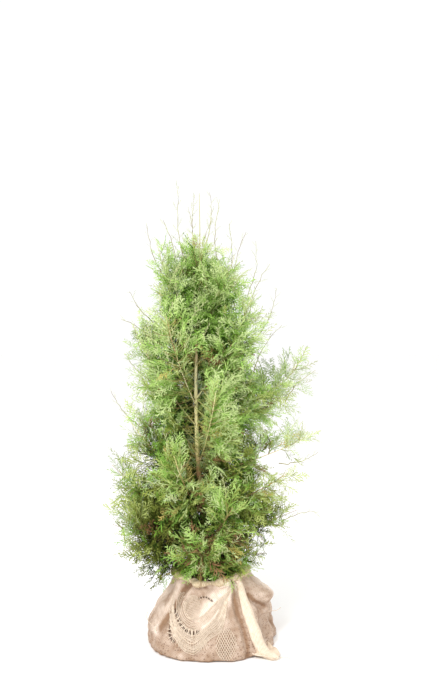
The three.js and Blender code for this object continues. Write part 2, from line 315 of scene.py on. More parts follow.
def grow_spray(rng, pairs, reach, fringe, blade_width, spread):
    """One flat spray of length 1 along +X: its points, its triangles, and which are outer ones."""
    mesh = ([], [])
    bow = rng.uniform(-0.22, 0.22)
    sink = rng.uniform(0.0, 0.12)

    def axis(t):
        """The main axis, which bows to one side and sinks a little."""
        return np.array([t, bow * t * t, -sink * t * t])

    for i in range(4):
        add_blade(mesh, axis(i / 4), axis((i + 1.15) / 4), blade_width * (1.1 - 0.15 * i), 0.2)
    hand = rng.choice([-1, 1])
    for i in range(2 * pairs):
        t = 0.1 + 0.86 * (i + rng.uniform(0.2, 0.8)) / (2 * pairs)
        hand = -hand
        shape = min(1, (t / 0.28) ** 0.8) * (1 - t) ** 0.7
        length = reach * shape * rng.uniform(0.7, 1.15) + 0.03
        fork = hand * math.radians(spread - 18 * t + rng.normal(0, 6))
        way = np.array([math.cos(fork), math.sin(fork), rng.normal(-0.06, 0.14)])
        start = axis(t)
        end = start + way * length
        add_blade(mesh, start, end, blade_width, rng.normal(0, 0.5), -0.14 * hand)
        small = int(length / fringe)
        turn = rng.choice([-1, 1])
        for j in range(small):
            u = 0.18 + 0.74 * (j + 0.5) / small
            turn = -turn
            side = fork + turn * math.radians(rng.uniform(34, 50))
            out = np.array([math.cos(side), math.sin(side), rng.normal(0, 0.15)])
            foot = start + way * length * u
            short = (0.5 * length * (1 - u) ** 0.6 + 0.02) * rng.uniform(0.7, 1.15)
            add_blade(mesh, foot, foot + out * short, blade_width * 0.95, rng.normal(0, 0.5))
    points, triangles = np.array(mesh[0]), np.array(mesh[1])
    outer = np.hypot(points[triangles].mean(1)[:, 0], points[triangles].mean(1)[:, 1]) > 0.55
    return points, triangles, outer


# %% [markdown]
# Three families of spray make the crown: full ones for its masses, airy ones for its loose
# edges, through which light comes, and thin wisps for the shoots that stand bare. Sixteen of
# each are enough for the eye not to find the same one twice.

# %% Three families of spray
# For each family: pairs of branchlets, how far they reach, how far apart the short ones on
# them stand, how wide a blade is, all as shares of the spray's length, and the fork's degrees.
# A wisp's spacing is longer than its branchlets, so it has no short ones.
FAMILIES = {
    "full": (6, 0.47, 0.090, 0.031, 47),
    "airy": (4, 0.60, 0.170, 0.023, 40),
    "wisp": (4, 0.34, 9, 0.032, 44),
}
FULL, AIRY, WISP = range(3)
SPRAY_KINDS = 16
spray_rng = np.random.default_rng(SEED)
spray_kinds = []
for name, rule in FAMILIES.items():
    grown = [grow_spray(spray_rng, *rule) for _ in range(SPRAY_KINDS)]
    spray_kinds += grown
    print(name, "sprays have", round(np.mean([len(k[1]) for k in grown])), "triangles")

# %% [markdown]
# ## Where the shoots grow
#
# A crown fills the light it can reach. So the tips of its shoots are sown first, through
# the masses of foliage and the narrow gaps between them, no two closer than a few
# centimetres, and more sparsely where the crown is thin. Each shoot is then traced back to
# the nearest limb, and further down it, because a thuja's shoots leave their limb at a
# sharp angle. Where the masses leave sky between them, nothing is sown.

# %% How close the shoots stand and how far they reach
# Tips stand this far apart in the thick of the crown, and this far out at its thin edges.
SHOOT_SPACING, SPARSE_SPACING = 0.0288, 0.0435
THICK_OUT_TO, THINS_OVER = 0.11, 0.12
# Close behind the trunk they stand closer, so that no sky shows through beside it.
HIND_HALF_WIDTH, HIND_SPACING = 0.07, 0.78
# How deep in its mass a tip must lie, by height: less than nothing is outside it. A gap
# between two masses, and the core round the trunk, are filled all the same.
SOW_DEPTH = {"heights": [0.2, 0.5, 0.9, 1.15], "depths": [-0.010, -0.014, -0.028, -0.020]}
GAP_BRIDGED = 0.045
CORE = {
    "heights": [0.21, 0.42, 0.55, 0.70, 1.10, 1.20],
    "radii": [0.125, 0.12, 0.095, 0.085, 0.085, 0.05],
}
# The crown is not even: how far right and left its shoots reach at each height, and boxes,
# by their low and high corners, where it bulges past its masses.
RIGHT_REACH = {
    "heights": [
        *(0.20, 0.28, 0.33, 0.38, 0.47, 0.53, 0.56, 0.61),
        *(0.66, 0.90, 0.95, 1.00, 1.05, 1.10, 1.15),
    ],
    "limits": [
        *(0.11, 0.14, 0.20, 0.23, 0.22, 0.22, 0.24, 0.28),
        *(0.30, 0.30, 0.165, 0.130, 0.100, 0.062, 0.012),
    ],
}
LEFT_REACH = {
    "heights": [
        *(0.20, 0.24, 0.28, 0.33, 0.38, 0.47, 0.52, 0.61),
        *(0.66, 0.80, 0.87, 0.92, 0.97, 1.10, 1.17),
    ],
    "limits": [
        *(0.16, 0.21, 0.23, 0.25, 0.27, 0.288, 0.285, 0.25),
        *(0.20, 0.208, 0.222, 0.208, 0.160, 0.150, 0.135),
    ],
}
BULGES = [
    ((-0.150, -0.08, 1.08), (-0.05, 0.09, 1.165)),
    ((-0.215, -0.08, 0.89), (-0.15, 0.08, 0.975)),
    ((-0.288, -0.12, 0.29), (-0.16, 0.06, 0.555)),
]
FARTHEST = {"low": (-0.290, -0.17, 0.20), "high": (0.295, 0.185, 1.168)}
# Boxes where the shoots stand closer (below 1) or leave a gap of sky (far above 1).
SPACING_BOXES = [
    ((-0.290, -0.14, 0.28), (-0.15, 0.08, 0.46), 0.70),
    ((0.120, -0.14, 0.360), (0.220, 0.08, 0.510), 0.8),
    ((0.140, -0.20, 0.500), (0.240, 0.20, 0.592), 9.0),
    ((-0.235, -0.20, 0.490), (-0.185, 0.20, 0.570), 2.2),
    ((-0.160, -0.20, 1.130), (-0.020, 0.20, 1.200), 1.3),
    ((-0.020, -0.20, 1.120), (0.080, 0.20, 1.200), 2.0),
]
SOW_TRIES = 60000
spacings = [round(spacing / MM, 1) for spacing in (SHOOT_SPACING, SPARSE_SPACING)]
print("tips stand", spacings[0], "to", spacings[1], "mm apart")

# %% [markdown]
# A place belongs to the mass that it lies deepest in. A search for the nearest point of
# each mass's surface tells both which mass that is and whether the place is in it, by
# comparing the way there with the surface's normal.

# %% The masses of foliage
NEAREST_WITHIN = 0.08
mass_names = [n for n in NODES if n.startswith("foliage_")]
mass_trees = {name: surface_of(name) for name in mass_names}
crown_corners = np.vstack([corner_points(n) for n in mass_names])
crown_low, crown_high = crown_corners.min(0), crown_corners.max(0)
print(len(mass_names), "masses, from", crown_low.round(3), "to", crown_high.round(3))


def nearest_mass(place):
    """The mass nearest to a place, how deep the place lies in it, and how many are near."""
    best, name_of, near = -1.0, None, 0
    point = Vector(place)
    for name, tree in mass_trees.items():
        hit, normal, _, distance = tree.find_nearest(point, GAP_BRIDGED if name_of else NEAREST_WITHIN)
        if hit is None:
            continue
        depth = distance if (point - hit).dot(normal) < 0 else -distance
        near += depth > -GAP_BRIDGED
        if depth > best:
            best, name_of = depth, name
    return best, name_of, near


# %% [markdown]
# Sowing is done by trial: places are thrown into the crown's box one after another, and
# each is kept only if it is far enough from all the kept ones. They are looked up by the
# cells of a coarse grid, because measuring to every kept place would be slow.

# %% Sowing the tips of the shoots


def inside(place, low, high):
    """Whether a place lies in a box."""
    return (place > low).all() and (place < high).all()


def spacing_at(place, away, axis):
    """How far a tip must be from the others, by where it is."""
    thin = np.clip((away - THICK_OUT_TO) / THINS_OVER, 0, 1)
    spacing = SHOOT_SPACING + (SPARSE_SPACING - SHOOT_SPACING) * thin
    if place[1] > axis[1] and abs(place[0] - axis[0]) < HIND_HALF_WIDTH:
        spacing *= HIND_SPACING
    for low, high, factor in SPACING_BOXES:
        if inside(place, low, high):
            spacing *= factor
    return spacing


def sow(rng):
    """The tips of the shoots: their places, and the mass that each belongs to."""
    cells, places, owners = {}, [], []
    steps = (-1, 0, 1)
    for place in rng.uniform(crown_low, crown_high, (SOW_TRIES, 3)):
        x, y, z = place
        beyond = x > np.interp(z, RIGHT_REACH["heights"], RIGHT_REACH["limits"])
        beyond = beyond or x < -np.interp(z, LEFT_REACH["heights"], LEFT_REACH["limits"])
        if beyond or (place < FARTHEST["low"]).any() or (place > FARTHEST["high"]).any():
            continue
        axis = trunk_point(z)
        away = math.hypot(x - axis[0], y - axis[1])
        key = tuple((place / SPARSE_SPACING).astype(int))
        around = [(key[0] + i, key[1] + j, key[2] + k) for i in steps for j in steps for k in steps]
        close = [q for cell in around for q in cells.get(cell, [])]
        gap = min(np.linalg.norm(np.array(close) - place, axis=1)) if close else math.inf
        if gap < spacing_at(place, away, axis):
            continue
        depth, owner, near = nearest_mass(place)
        core = away < np.interp(z, CORE["heights"], CORE["radii"], left=0, right=0)
        bulge = any(inside(place, low, high) for low, high in BULGES)
        least = np.interp(z, SOW_DEPTH["heights"], SOW_DEPTH["depths"])
        if owner is None or (depth < least and near < 2 and not core and not bulge):
            continue
        cells.setdefault(key, []).append(place)
        places.append(place)
        owners.append(owner)
    return np.array(places), owners


shoot_tips, shoot_owners = sow(np.random.default_rng(SEED + 2))
print("shoots:", len(shoot_tips))

# %% [markdown]
# Inside a crown it is dark, and the leaves there are deep green and few. How shaded a shoot
# is could be found by shooting rays at the light, but counting the tips that stand between
# it and the outside gives the same picture in one step.
#
# Along the front of the trunk the foliage is parted, so the shoots beside it get more light.

# %% How shaded each shoot is
SHADED_BY = {"within": 0.11, "ahead": 0.03, "full": 12.0, "rise": 0.5}
PARTING = {"low": 0.50, "high": 0.85, "half_width": 0.004, "widening": 0.4}
BESIDE_TRUNK, LIGHT_BESIDE = 0.07, 0.35
trunk_axis = np.array([trunk_point(z) for z in shoot_tips[:, 2]])
outward = unit((shoot_tips - trunk_axis) * (1, 1, 0))
light_way = unit(outward + np.array([0, 0, SHADED_BY["rise"]]))
apart = shoot_tips[None] - shoot_tips[:, None]
in_front = (apart * light_way[:, None]).sum(2) > SHADED_BY["ahead"]
neighbour = np.linalg.norm(apart, axis=2) < SHADED_BY["within"]
shade = (neighbour & in_front).sum(1) / SHADED_BY["full"]
beside = np.abs(shoot_tips[:, 0] - trunk_axis[:, 0]) < BESIDE_TRUNK
beside &= (shoot_tips[:, 1] < trunk_axis[:, 1]) & (shoot_tips[:, 2] > PARTING["low"])
beside &= shoot_tips[:, 2] < PARTING["high"]
shade[beside] *= LIGHT_BESIDE
print("shade of the lightest, middle and darkest:", np.quantile(shade, [0.1, 0.5, 0.9]).round(2))

# %% [markdown]
# ## Leaf colours
#
# Young growth on the outside is a bright yellow-green, older sprays inside are deeper, and
# a spray that shows its underside is greyer. The deeper tones also carry painted shade inside
# the crown, and the paler ones painted light along its outline. Each spray wears one plain
# colour and its outer branchlets the next lighter one, dealt out by its place: how far out it
# lies, how high, how shaded, and a little chance.

# %% Leaf materials
# Scale leaves have a thin waxy skin over a rough surface: nearly matt, with the low IOR of
# plant wax, so a spray shines only softly and its colour stays clear.
LEAF_ROUGHNESS, LEAF_IOR = 0.7, 1.38
# Each ramp runs from light to deep. Part of that is the age of the leaves and part is painted light and
# painted shade, dealt out by how shaded a spray is. The pale colour stands for undersides and for painted
# light along the outline.
LEAF_COLOURS = [
    ("young scale leaf, new growth", "#BACB8A"),
    ("young scale leaf, sunlit", "#A6C46C"),
    ("young scale leaf, fresh", "#87AE4C"),
    ("young scale leaf, full", "#6A922C"),
    ("young scale leaf, deep, painted shade", "#476A18"),
    ("young scale leaf, inner, painted shade", "#1E2E06"),
    ("old scale leaf, sunlit", "#ABB868"),
    ("old scale leaf, fresh", "#8C9844"),
    ("old scale leaf, full", "#646E24"),
    ("old scale leaf, inner, painted shade", "#2A3006"),
    ("scale leaf, pale underside and painted outline light", "#B2BF9C"),
    ("scale leaf, yellowing", "#BFAF62"),
    ("scale leaf, withered", "#8C6845"),
    ("shoot tip, straw", "#A9AE7C"),
]
OLD, PALE, YELLOWING, WITHERED, STRAW = 6, 10, 11, 12, 13
leaf_materials = [new_material(n, LEAF_ROUGHNESS, LEAF_IOR, code)[0] for n, code in LEAF_COLOURS]
print(len(leaf_materials), "leaf colours")

# %% [markdown]
# A spray's colour follows from a tone, from 0 for the lightest leaves to 5 for the deepest.
# Shade deepens it, which paints the crown's shade into the leaves, and the pockets paint more
# shade while the glade paints light. Height and the crown's outline lighten it, the outline as
# painted light, and chance spreads it. Low down most sprays are old, which makes them browner.
# A few are pale, yellowing or withered.

# %% Dealing out the colours
# Where sprays have withered on the front: across, up, how far round, and the share of them.
WITHERED_SPOTS = [(0.03, 0.82, 0.03, 0.35), (-0.02, 0.30, 0.05, 0.25), (-0.01, 0.52, 0.03, 0.12)]
# Where shade gathers to the left of the trunk, and where light falls along it: across, up,
# and how far round each way.
LOW_POCKET, HIGH_POCKET = (-0.12, 0.33, 0.06, 0.10), (-0.12, 0.56, 0.05, 0.14)
GLADE = (-0.045, 0.58, 0.030, 0.20)
# What a tone starts from, what moves it, and how much: less for height, the outline, fresh
# growth and the glade, more for shade and the pockets.
TONE = {"middle": 1.75, "shade": 1.75, "height": 1.1, "outer": 1.0, "chance": 0.8}
FRESH_TONE, POCKET_TONE, GLADE_TONE, HIGH_POCKET_SHARE = 0.5, 1.5, 1.5, 0.9
# The outline starts this far out from the crown's middle and is full this much further, and
# fresh growth sits within this half width of the front.
CROWN_MIDDLE, OUTLINE_FROM, OUTLINE_OVER = -0.02, 0.13, 0.12
FRESH_HALF_WIDTH, FRESH_FORWARD, FRESH_BELOW = 0.10, 0.05, 0.6
# Old growth is most common low down and gone at this height.
OLD_UP_TO, OLD_OVER, MOST_OLD = 0.78, 0.5, 0.85
# How much deeper than that the tone is by height, and the deepest that it may be.
TONE_BY_HEIGHT = ([0.30, 0.45, 0.60, 0.75, 0.90], [0.05, -0.1, -0.45, -0.7, -0.1])
DEEPEST_TONE = ([0.85, 1.05], [5.0, 3.7])


def spot_at(x, z, middle_x, middle_z, wide, high):
    """A soft spot on the front or back: 1 in its middle and 0 far from it."""
    return np.exp(-(((x - middle_x) / wide) ** 2) - ((z - middle_z) / high) ** 2)


def deal_colours(places, shades, kinds, rng):
    """An index into the leaf colours for each spray, by its place."""
    x, y, z = places.T
    outer = np.clip((np.abs(x - CROWN_MIDDLE) - OUTLINE_FROM) / OUTLINE_OVER, 0, 1)
    fresh = np.exp(-((x / FRESH_HALF_WIDTH) ** 4)) * np.clip(-y / FRESH_FORWARD, 0, 1)
    pocket = spot_at(x, z, *LOW_POCKET) + HIGH_POCKET_SHARE * spot_at(x, z, *HIGH_POCKET)
    glade = spot_at(x, z, *GLADE) * (y < 0.02)
    tone = TONE["middle"] + TONE["shade"] * shades - TONE["height"] * (z - 0.2)
    tone = tone - TONE["outer"] * outer + rng.normal(0, TONE["chance"], len(places))
    tone = tone - FRESH_TONE * fresh * (z < FRESH_BELOW) + POCKET_TONE * pocket
    tone = tone - GLADE_TONE * glade + np.interp(z, *TONE_BY_HEIGHT)
    tone = np.minimum(tone, np.interp(z, *DEEPEST_TONE))
    index = np.clip(tone.round(), 0, 5).astype(int)
    share_old = np.clip((OLD_UP_TO - z) / OLD_OVER, 0, MOST_OLD) * (1 - 0.6 * fresh)
    old = rng.random(len(places)) < share_old
    index[old] = OLD + np.clip((tone[old] * 0.75).round(), 0, 3).astype(int)
    drift = np.sin(9 * x + 2) + np.sin(7 * z + 4 * y)
    chance = rng.random(len(places))
    upper = np.clip((z - 0.38) / 0.2, 0.15, 1)
    pale = (0.02 + (0.13 * (drift > 0.7) + 0.4 * outer) * upper) * (1 - fresh)
    index[(chance < pale) & (shades < 0.8)] = PALE
    for middle_x, middle_z, reach, share in WITHERED_SPOTS:
        spot = spot_at(x, z, middle_x, middle_z, reach, reach)
        index[(chance > 1 - share * spot) & (y < 0)] = WITHERED
    index[(chance > 0.965) & (shades > 0.5)] = YELLOWING
    index[(chance > 0.988) & (shades > 0.3)] = WITHERED
    index[shades < 0] = rng.choice([1, 2, OLD, YELLOWING, PALE], (shades < 0).sum())
    index[kinds == WISP] = STRAW
    return index


def next_lighter(index):
    """The colour of a spray's outer branchlets."""
    first = (index == 0) | (index == OLD) | (index >= PALE)
    return np.where(first, index, index - 1)


# %% [markdown]
# ## Growing shoots and sprays
#
# A shoot leaves a limb, bows outwards and turns up at its end. It could leave from the
# limb's nearest point, but a thuja's shoots lean forwards, so it leaves from further down:
# the nearest point is found first, and then one below it, by the distance to the tip.

# %% Shoots and the limbs that they leave
TRUNK_STOPS, LOWEST_SHOOT, BELOW_LEADER = 110, 0.215, 0.05
LEAN, SAG, WANDER = 0.8, 0.14, 0.06


def square_frame(way):
    """Two unit vectors across a direction: one level, one as upright as can be."""
    side = np.cross(way, (0, 0, 1))
    side = unit(side) if np.linalg.norm(side) > 0.2 else np.array([1.0, 0, 0])
    return side, unit(np.cross(side, way))


limb_points, limb_lower = [], []
stops = np.linspace(LOWEST_SHOOT, trunk_line[-1, 2] - BELOW_LEADER, TRUNK_STOPS)
limb_runs = [[trunk_point(z) for z in stops]]
for start_line, spine, _ in boughs.values():
    limb_runs.append(list(smooth_line(np.vstack([start_line, spine[4:]]), 40)[4:]))
for run in limb_runs:
    for i, point in enumerate(run):
        limb_points.append(point)
        limb_lower.append(unit(run[max(i - 1, 0)] - run[max(i - 1, 0) + 1]))
limb_points, limb_lower = np.array(limb_points), np.array(limb_lower)
print(len(limb_points), "places on the limbs that shoots may leave")


def shoot_line(tip, rng):
    """A shoot's line, from the limb that it leaves to its tip."""
    gap = np.linalg.norm(limb_points - tip, axis=1)
    i = int(np.argmin(gap))
    wanted = limb_points[i] + limb_lower[i] * gap[i] * LEAN
    foot = limb_points[int(np.argmin(np.linalg.norm(limb_points - wanted, axis=1)))]
    across = tip - foot
    reach = np.linalg.norm(across)
    middle = foot + across * 0.5 + np.array([0, 0, -SAG * reach]) + rng.normal(0, WANDER, 3) * reach
    s = np.linspace(0, 1, 9)[:, None]
    return (1 - s) ** 2 * foot + 2 * s * (1 - s) * middle + s**2 * tip


# %% [markdown]
# Along the front of the trunk the foliage is parted, so that a stretch of pale bark shows,
# and between some boughs there is sky. Sprays could be cut off there, but a cut shows. So a
# spray that would end in such a place, or lie over the bare bark or shade it, grows shorter.

# %% Where sprays stay short
# The key light comes from the left, above and the front: how far it moves across and up for
# each metre that it goes back, and the half width of the slot that it needs.
LIGHT_SLOPE, LIGHT_SLOT = (0.58, -0.75), 0.006
SPRAY_HALF_WIDTH = 0.06


def hides_trunk(place, way, length):
    """Whether a spray would lie over the bare front of the trunk, or keep the key light off it."""
    spread = SPRAY_HALF_WIDTH * length
    for share in (0.0, 0.25, 0.5, 0.75, 1.0):
        x, y, z = place + way * length * share
        axis = trunk_point(z)
        half = PARTING["half_width"] + PARTING["widening"] * (axis[1] - y) * 0.5 + spread
        if PARTING["low"] < z < PARTING["high"] and y < axis[1] and abs(x - axis[0]) < half:
            return True
        behind = trunk_point(np.clip(z, 0.2, 1.2))[1] - y
        lit_x, lit_z = x + LIGHT_SLOPE[0] * behind, z + LIGHT_SLOPE[1] * behind
        shaded = PARTING["low"] < lit_z < PARTING["high"] and behind > 0
        if shaded and abs(lit_x - trunk_point(lit_z)[0]) < LIGHT_SLOT + spread:
            return True
    return False


# Boxes, by their low and high corners, where sprays end early: the sky between two boughs on the
# right and on the left, and the front of the sack. No spray reaches past the crown's own box.
OPEN_BOXES = [
    ((0.152, -0.30, 0.505), (0.232, 0.30, 0.582)),
    ((-0.228, -0.30, 0.500), (-0.192, 0.30, 0.560)),
    ((-0.100, -0.30, 0.000), (0.130, 0.30, 0.188)),
]
CROWN_REACH = {"low": (-0.314, -0.208, 0.13), "high": (0.340, 0.240, 1.34)}


def hangs_out(place, way, length):
    """Whether a spray would end in an open place or stick far out of the crown."""
    end = place + way * length
    in_open = any(inside(end, low, high) for low, high in OPEN_BOXES)
    return in_open or (end < CROWN_REACH["low"]).any() or (end > CROWN_REACH["high"]).any()


print("the parting is", round(PARTING["high"] - PARTING["low"], 2), "metres long")

# %% [markdown]
# Sprays leave a shoot left and right by turns in one plane, and one ends it. At the light
# outside of the crown most sprays are airy ones and some shoots run on in a bare wisp.

# %% The sprays of one shoot
LAST_SPRAY, SIDE_SPRAY, SPRAY_GAP = (0.085, 0.125), (0.052, 0.108), 0.024
FORK_DEGREES = (32, 55)
SHORTENED = (1.0, 0.55, 0.3)
LIGHT_OUTSIDE = 0.3


def point_on(line, share):
    """A point of a line at a share of its count, and the line's direction there."""
    at = share * (len(line) - 1)
    k = min(int(at), len(line) - 2)
    return line[k] + (line[k + 1] - line[k]) * (at - k), unit(line[k + 1] - line[k])


def sprays_of(line, shaded, rng):
    """The sprays of one shoot as rows of foot, direction, normal, length, shade and kind."""
    length = np.linalg.norm(np.diff(line, axis=0), axis=1).sum()
    _, end_way = point_on(line, 1)
    side, over = square_frame(end_way)
    turn = rng.uniform(0, math.pi)
    normal = side * math.cos(turn) + over * math.sin(turn)
    height = np.clip((line[-1][2] - 0.25) / 0.8, 0, 1)
    airy = shaded < LIGHT_OUTSIDE
    last = min(rng.uniform(*LAST_SPRAY) * (1.15 if airy else 1), 0.95 * length)
    made = []
    place, way = point_on(line, 1 - last / length)
    kind = AIRY if airy and rng.random() < 0.8 else FULL
    made.append((place, unit(line[-1] - place), normal, last, shaded, kind))
    if shaded < 0.2 and rng.random() < 0.6:
        beyond = unit(line[-1] - place + rng.normal(0, 0.02, 3) + np.array([0, 0, 0.03]))
        made.append((line[-1] - beyond * 0.03, beyond, normal, rng.uniform(0.05, 0.08), shaded, WISP))
    count = int(np.clip(length / SPRAY_GAP, 2, 7))
    hand = rng.choice([-1, 1])
    for j in range(count):
        share = 0.12 + (0.93 - 0.12) * (j + rng.uniform(0.3, 0.7)) / count
        place, way = point_on(line, share * (1 - 0.35 * last / length))
        hand = -hand
        across = unit(np.cross(normal, way))
        fork = math.radians(rng.uniform(*FORK_DEGREES))
        go = way * math.cos(fork) + across * hand * math.sin(fork) + np.array([0, 0, 0.25 * height])
        go = unit(go + rng.normal(0, 0.1, 3))
        size = rng.uniform(0.6, 0.95) * (0.065 + 0.45 * length * (1 - 0.5 * share))
        size = float(np.clip(size, *SIDE_SPRAY))
        plane = unit(normal + rng.normal(0, 0.22, 3))
        kind = AIRY if airy and rng.random() < 0.5 else FULL
        made.append((place, go, plane, size, shaded + 0.1, kind))
    kept = []
    for place, go, plane, size, dark, kind in made:
        for short in SHORTENED:
            if not (hides_trunk(place, go, size * short) or hangs_out(place, go, size * short)):
                kept.append((place, go, plane, size * short, dark, kind if short == 1 else AIRY))
                break
    return kept


# %% [markdown]
# ## Leaves
#
# Thousands of sprays could be placed as instances of a few objects, but joined meshes are
# one plain piece each. All sprays of one kind are turned and placed at once, as arrays.

# %% Placing many sprays at once
DROOP = 0.18
NARROW = (0.75, 1.1)


def place_sprays(sprays, rng):
    """All sprays of one tier as points, triangles and a colour index for each triangle."""
    family = np.array([s[5] for s in sprays])
    kinds = rng.integers(0, SPRAY_KINDS, len(sprays)) + SPRAY_KINDS * family
    places = np.array([s[0] for s in sprays])
    colours = deal_colours(places, np.array([s[4] for s in sprays]), family, rng)
    all_points, all_triangles, all_indices, total = [], [], [], 0
    for kind, (shape, triangles, outer) in enumerate(spray_kinds):
        chosen = np.nonzero(kinds == kind)[0]
        if not len(chosen):
            continue
        way = np.array([sprays[i][1] for i in chosen])
        normal = np.array([sprays[i][2] for i in chosen])
        normal = unit(normal - way * (normal * way).sum(1, keepdims=True))
        across = np.cross(normal, way)
        length = np.array([sprays[i][3] for i in chosen])[:, None, None]
        droop = rng.normal(0, DROOP, len(chosen))[:, None, None]
        narrow = rng.uniform(*NARROW, len(chosen))[:, None, None]
        x, y, z = (shape[None, :, i, None] for i in range(3))
        local = x * way[:, None] + y * narrow * across[:, None] + z * normal[:, None]
        local = local - droop * x**2 * normal[:, None]
        points = places[chosen][:, None] + length * local
        all_points.append(points.reshape(-1, 3))
        offsets = total + np.arange(len(chosen))[:, None, None] * len(shape)
        all_triangles.append((triangles[None] + offsets).reshape(-1, 3))
        own = colours[chosen][:, None]
        all_indices.append(np.where(outer[None], next_lighter(own), own).ravel())
        total += len(chosen) * len(shape)
    return np.vstack(all_points), np.vstack(all_triangles), np.concatenate(all_indices)


# %% [markdown]
# Above the dome and out of both sides stand last year's shoots, nearly bare: fine lines
# against the sky with a few wisps. They make the outline of the plant, so each has its own
# line in a list. The front of the trunk has small straw-coloured sprays of its own instead.

# %% Bare shoots and inner sprays
# Where each bare shoot's foot is, where its tip is, and how far it bows on the way, in metres.
BARE_SHOOTS = [
    ((-0.075, 0.00, 1.10), (-0.098, 0.02, 1.340), 0.012),
    ((-0.060, 0.05, 1.12), (-0.072, 0.07, 1.285), -0.010),
    ((-0.042, -0.02, 1.10), (-0.048, -0.03, 1.310), 0.010),
    ((-0.036, 0.01, 1.12), (-0.004, 0.00, 1.318), -0.016),
    ((-0.030, -0.03, 1.10), (0.004, -0.06, 1.240), 0.010),
    ((0.035, 0.00, 1.05), (0.026, 0.02, 1.300), 0.020),
    ((0.050, 0.03, 1.02), (0.052, 0.05, 1.235), -0.012),
    ((0.070, -0.02, 0.98), (0.100, -0.03, 1.200), 0.018),
    ((0.085, 0.02, 0.98), (0.132, 0.03, 1.180), -0.020),
    ((0.105, -0.01, 0.92), (0.172, -0.02, 1.110), 0.016),
    ((0.110, 0.02, 0.86), (0.196, 0.03, 1.040), -0.016),
    ((0.120, -0.02, 0.78), (0.205, -0.04, 0.930), 0.014),
    ((-0.130, 0.00, 1.05), (-0.190, 0.01, 1.225), 0.012),
    ((-0.100, -0.02, 1.08), (-0.140, -0.03, 1.235), -0.008),
    ((-0.150, 0.02, 0.92), (-0.245, 0.03, 1.030), 0.012),
    ((-0.160, -0.03, 0.86), (-0.262, -0.04, 0.950), -0.012),
    ((-0.170, 0.00, 0.76), (-0.255, 0.01, 0.840), 0.010),
    ((-0.200, 0.00, 0.62), (-0.296, -0.02, 0.735), 0.012),
    ((0.190, 0.00, 0.74), (0.285, 0.02, 0.870), -0.012),
    ((0.220, 0.01, 0.70), (0.308, 0.00, 0.795), 0.012),
    ((0.200, -0.02, 0.52), (0.312, -0.04, 0.555), -0.010),
    ((0.190, -0.01, 0.33), (0.318, -0.03, 0.380), 0.014),
    ((-0.200, -0.01, 0.30), (-0.290, -0.04, 0.250), 0.010),
]
WISP_GAP, WISP_LENGTH = 0.016, (0.014, 0.034)
SHOOT_POINTS, SHOOT_WOBBLE = 16, 0.0012


def bare_shoots(rng):
    """Wisps that follow each other along the bare shoots, and the shoots' own lines."""
    sprays, lines = [], []
    for foot, tip, bow in BARE_SHOOTS:
        foot, tip = np.array(foot), np.array(tip)
        length = np.linalg.norm(tip - foot)
        across = unit(np.cross(tip - foot, (0, 1, 0)))
        s = np.linspace(0, 1, SHOOT_POINTS)[:, None]
        line = foot + (tip - foot) * s + across * bow * np.sin(math.pi * s)
        line = line + rng.normal(0, SHOOT_WOBBLE, (SHOOT_POINTS, 3))
        lines.append(line)
        normal = unit(np.array([rng.normal(0, 0.4), 1, rng.normal(0, 0.4)]))
        hand = 1
        for share in np.arange(0.3, 0.97, WISP_GAP / length):
            place, go = point_on(line, share)
            hand = -hand
            side = go + np.cross(normal, go) * hand * rng.uniform(0.3, 0.9)
            side = unit(side + rng.normal(0, 0.15, 3))
            size = rng.uniform(*WISP_LENGTH) * (1.25 - share * 0.5)
            sprays.append((place, side, normal, size, 0.0, WISP))
    return sprays, lines


INNER_SPRAYS = {"count": 190, "low": 0.48, "high": 0.90, "turn": (10, 120), "length": (0.035, 0.075)}
INNER_SHADE = -1.0


def inner_sprays(rng):
    """Small straw-coloured sprays that leave the trunk sideways where its front is bare."""
    sprays = []
    for height in rng.uniform(INNER_SPRAYS["low"], INNER_SPRAYS["high"], INNER_SPRAYS["count"]):
        turn = math.radians(-90 + rng.choice([-1, 1]) * rng.uniform(*INNER_SPRAYS["turn"]))
        rise = rng.uniform(0.1, 1.0)
        go = unit(np.array([math.cos(turn), math.sin(turn), rise]))
        place = trunk_point(height) + go * (1, 1, 0) * 0.006
        normal = unit(rng.normal(0, 1, 3))
        sprays.append((place, go, normal, rng.uniform(*INNER_SPRAYS["length"]), INNER_SHADE, AIRY))
    return sprays


print(len(BARE_SHOOTS), "bare shoots and", INNER_SPRAYS["count"], "inner sprays")

# %% [markdown]
# The crown is made tier by tier, each a piece of its own that stands for its masses. The
# wide tiers are two pieces, left and right, so that none of them grows too heavy. A shoot's
# line is also kept for its twig, which stops short of the tip, where leaves cover it.

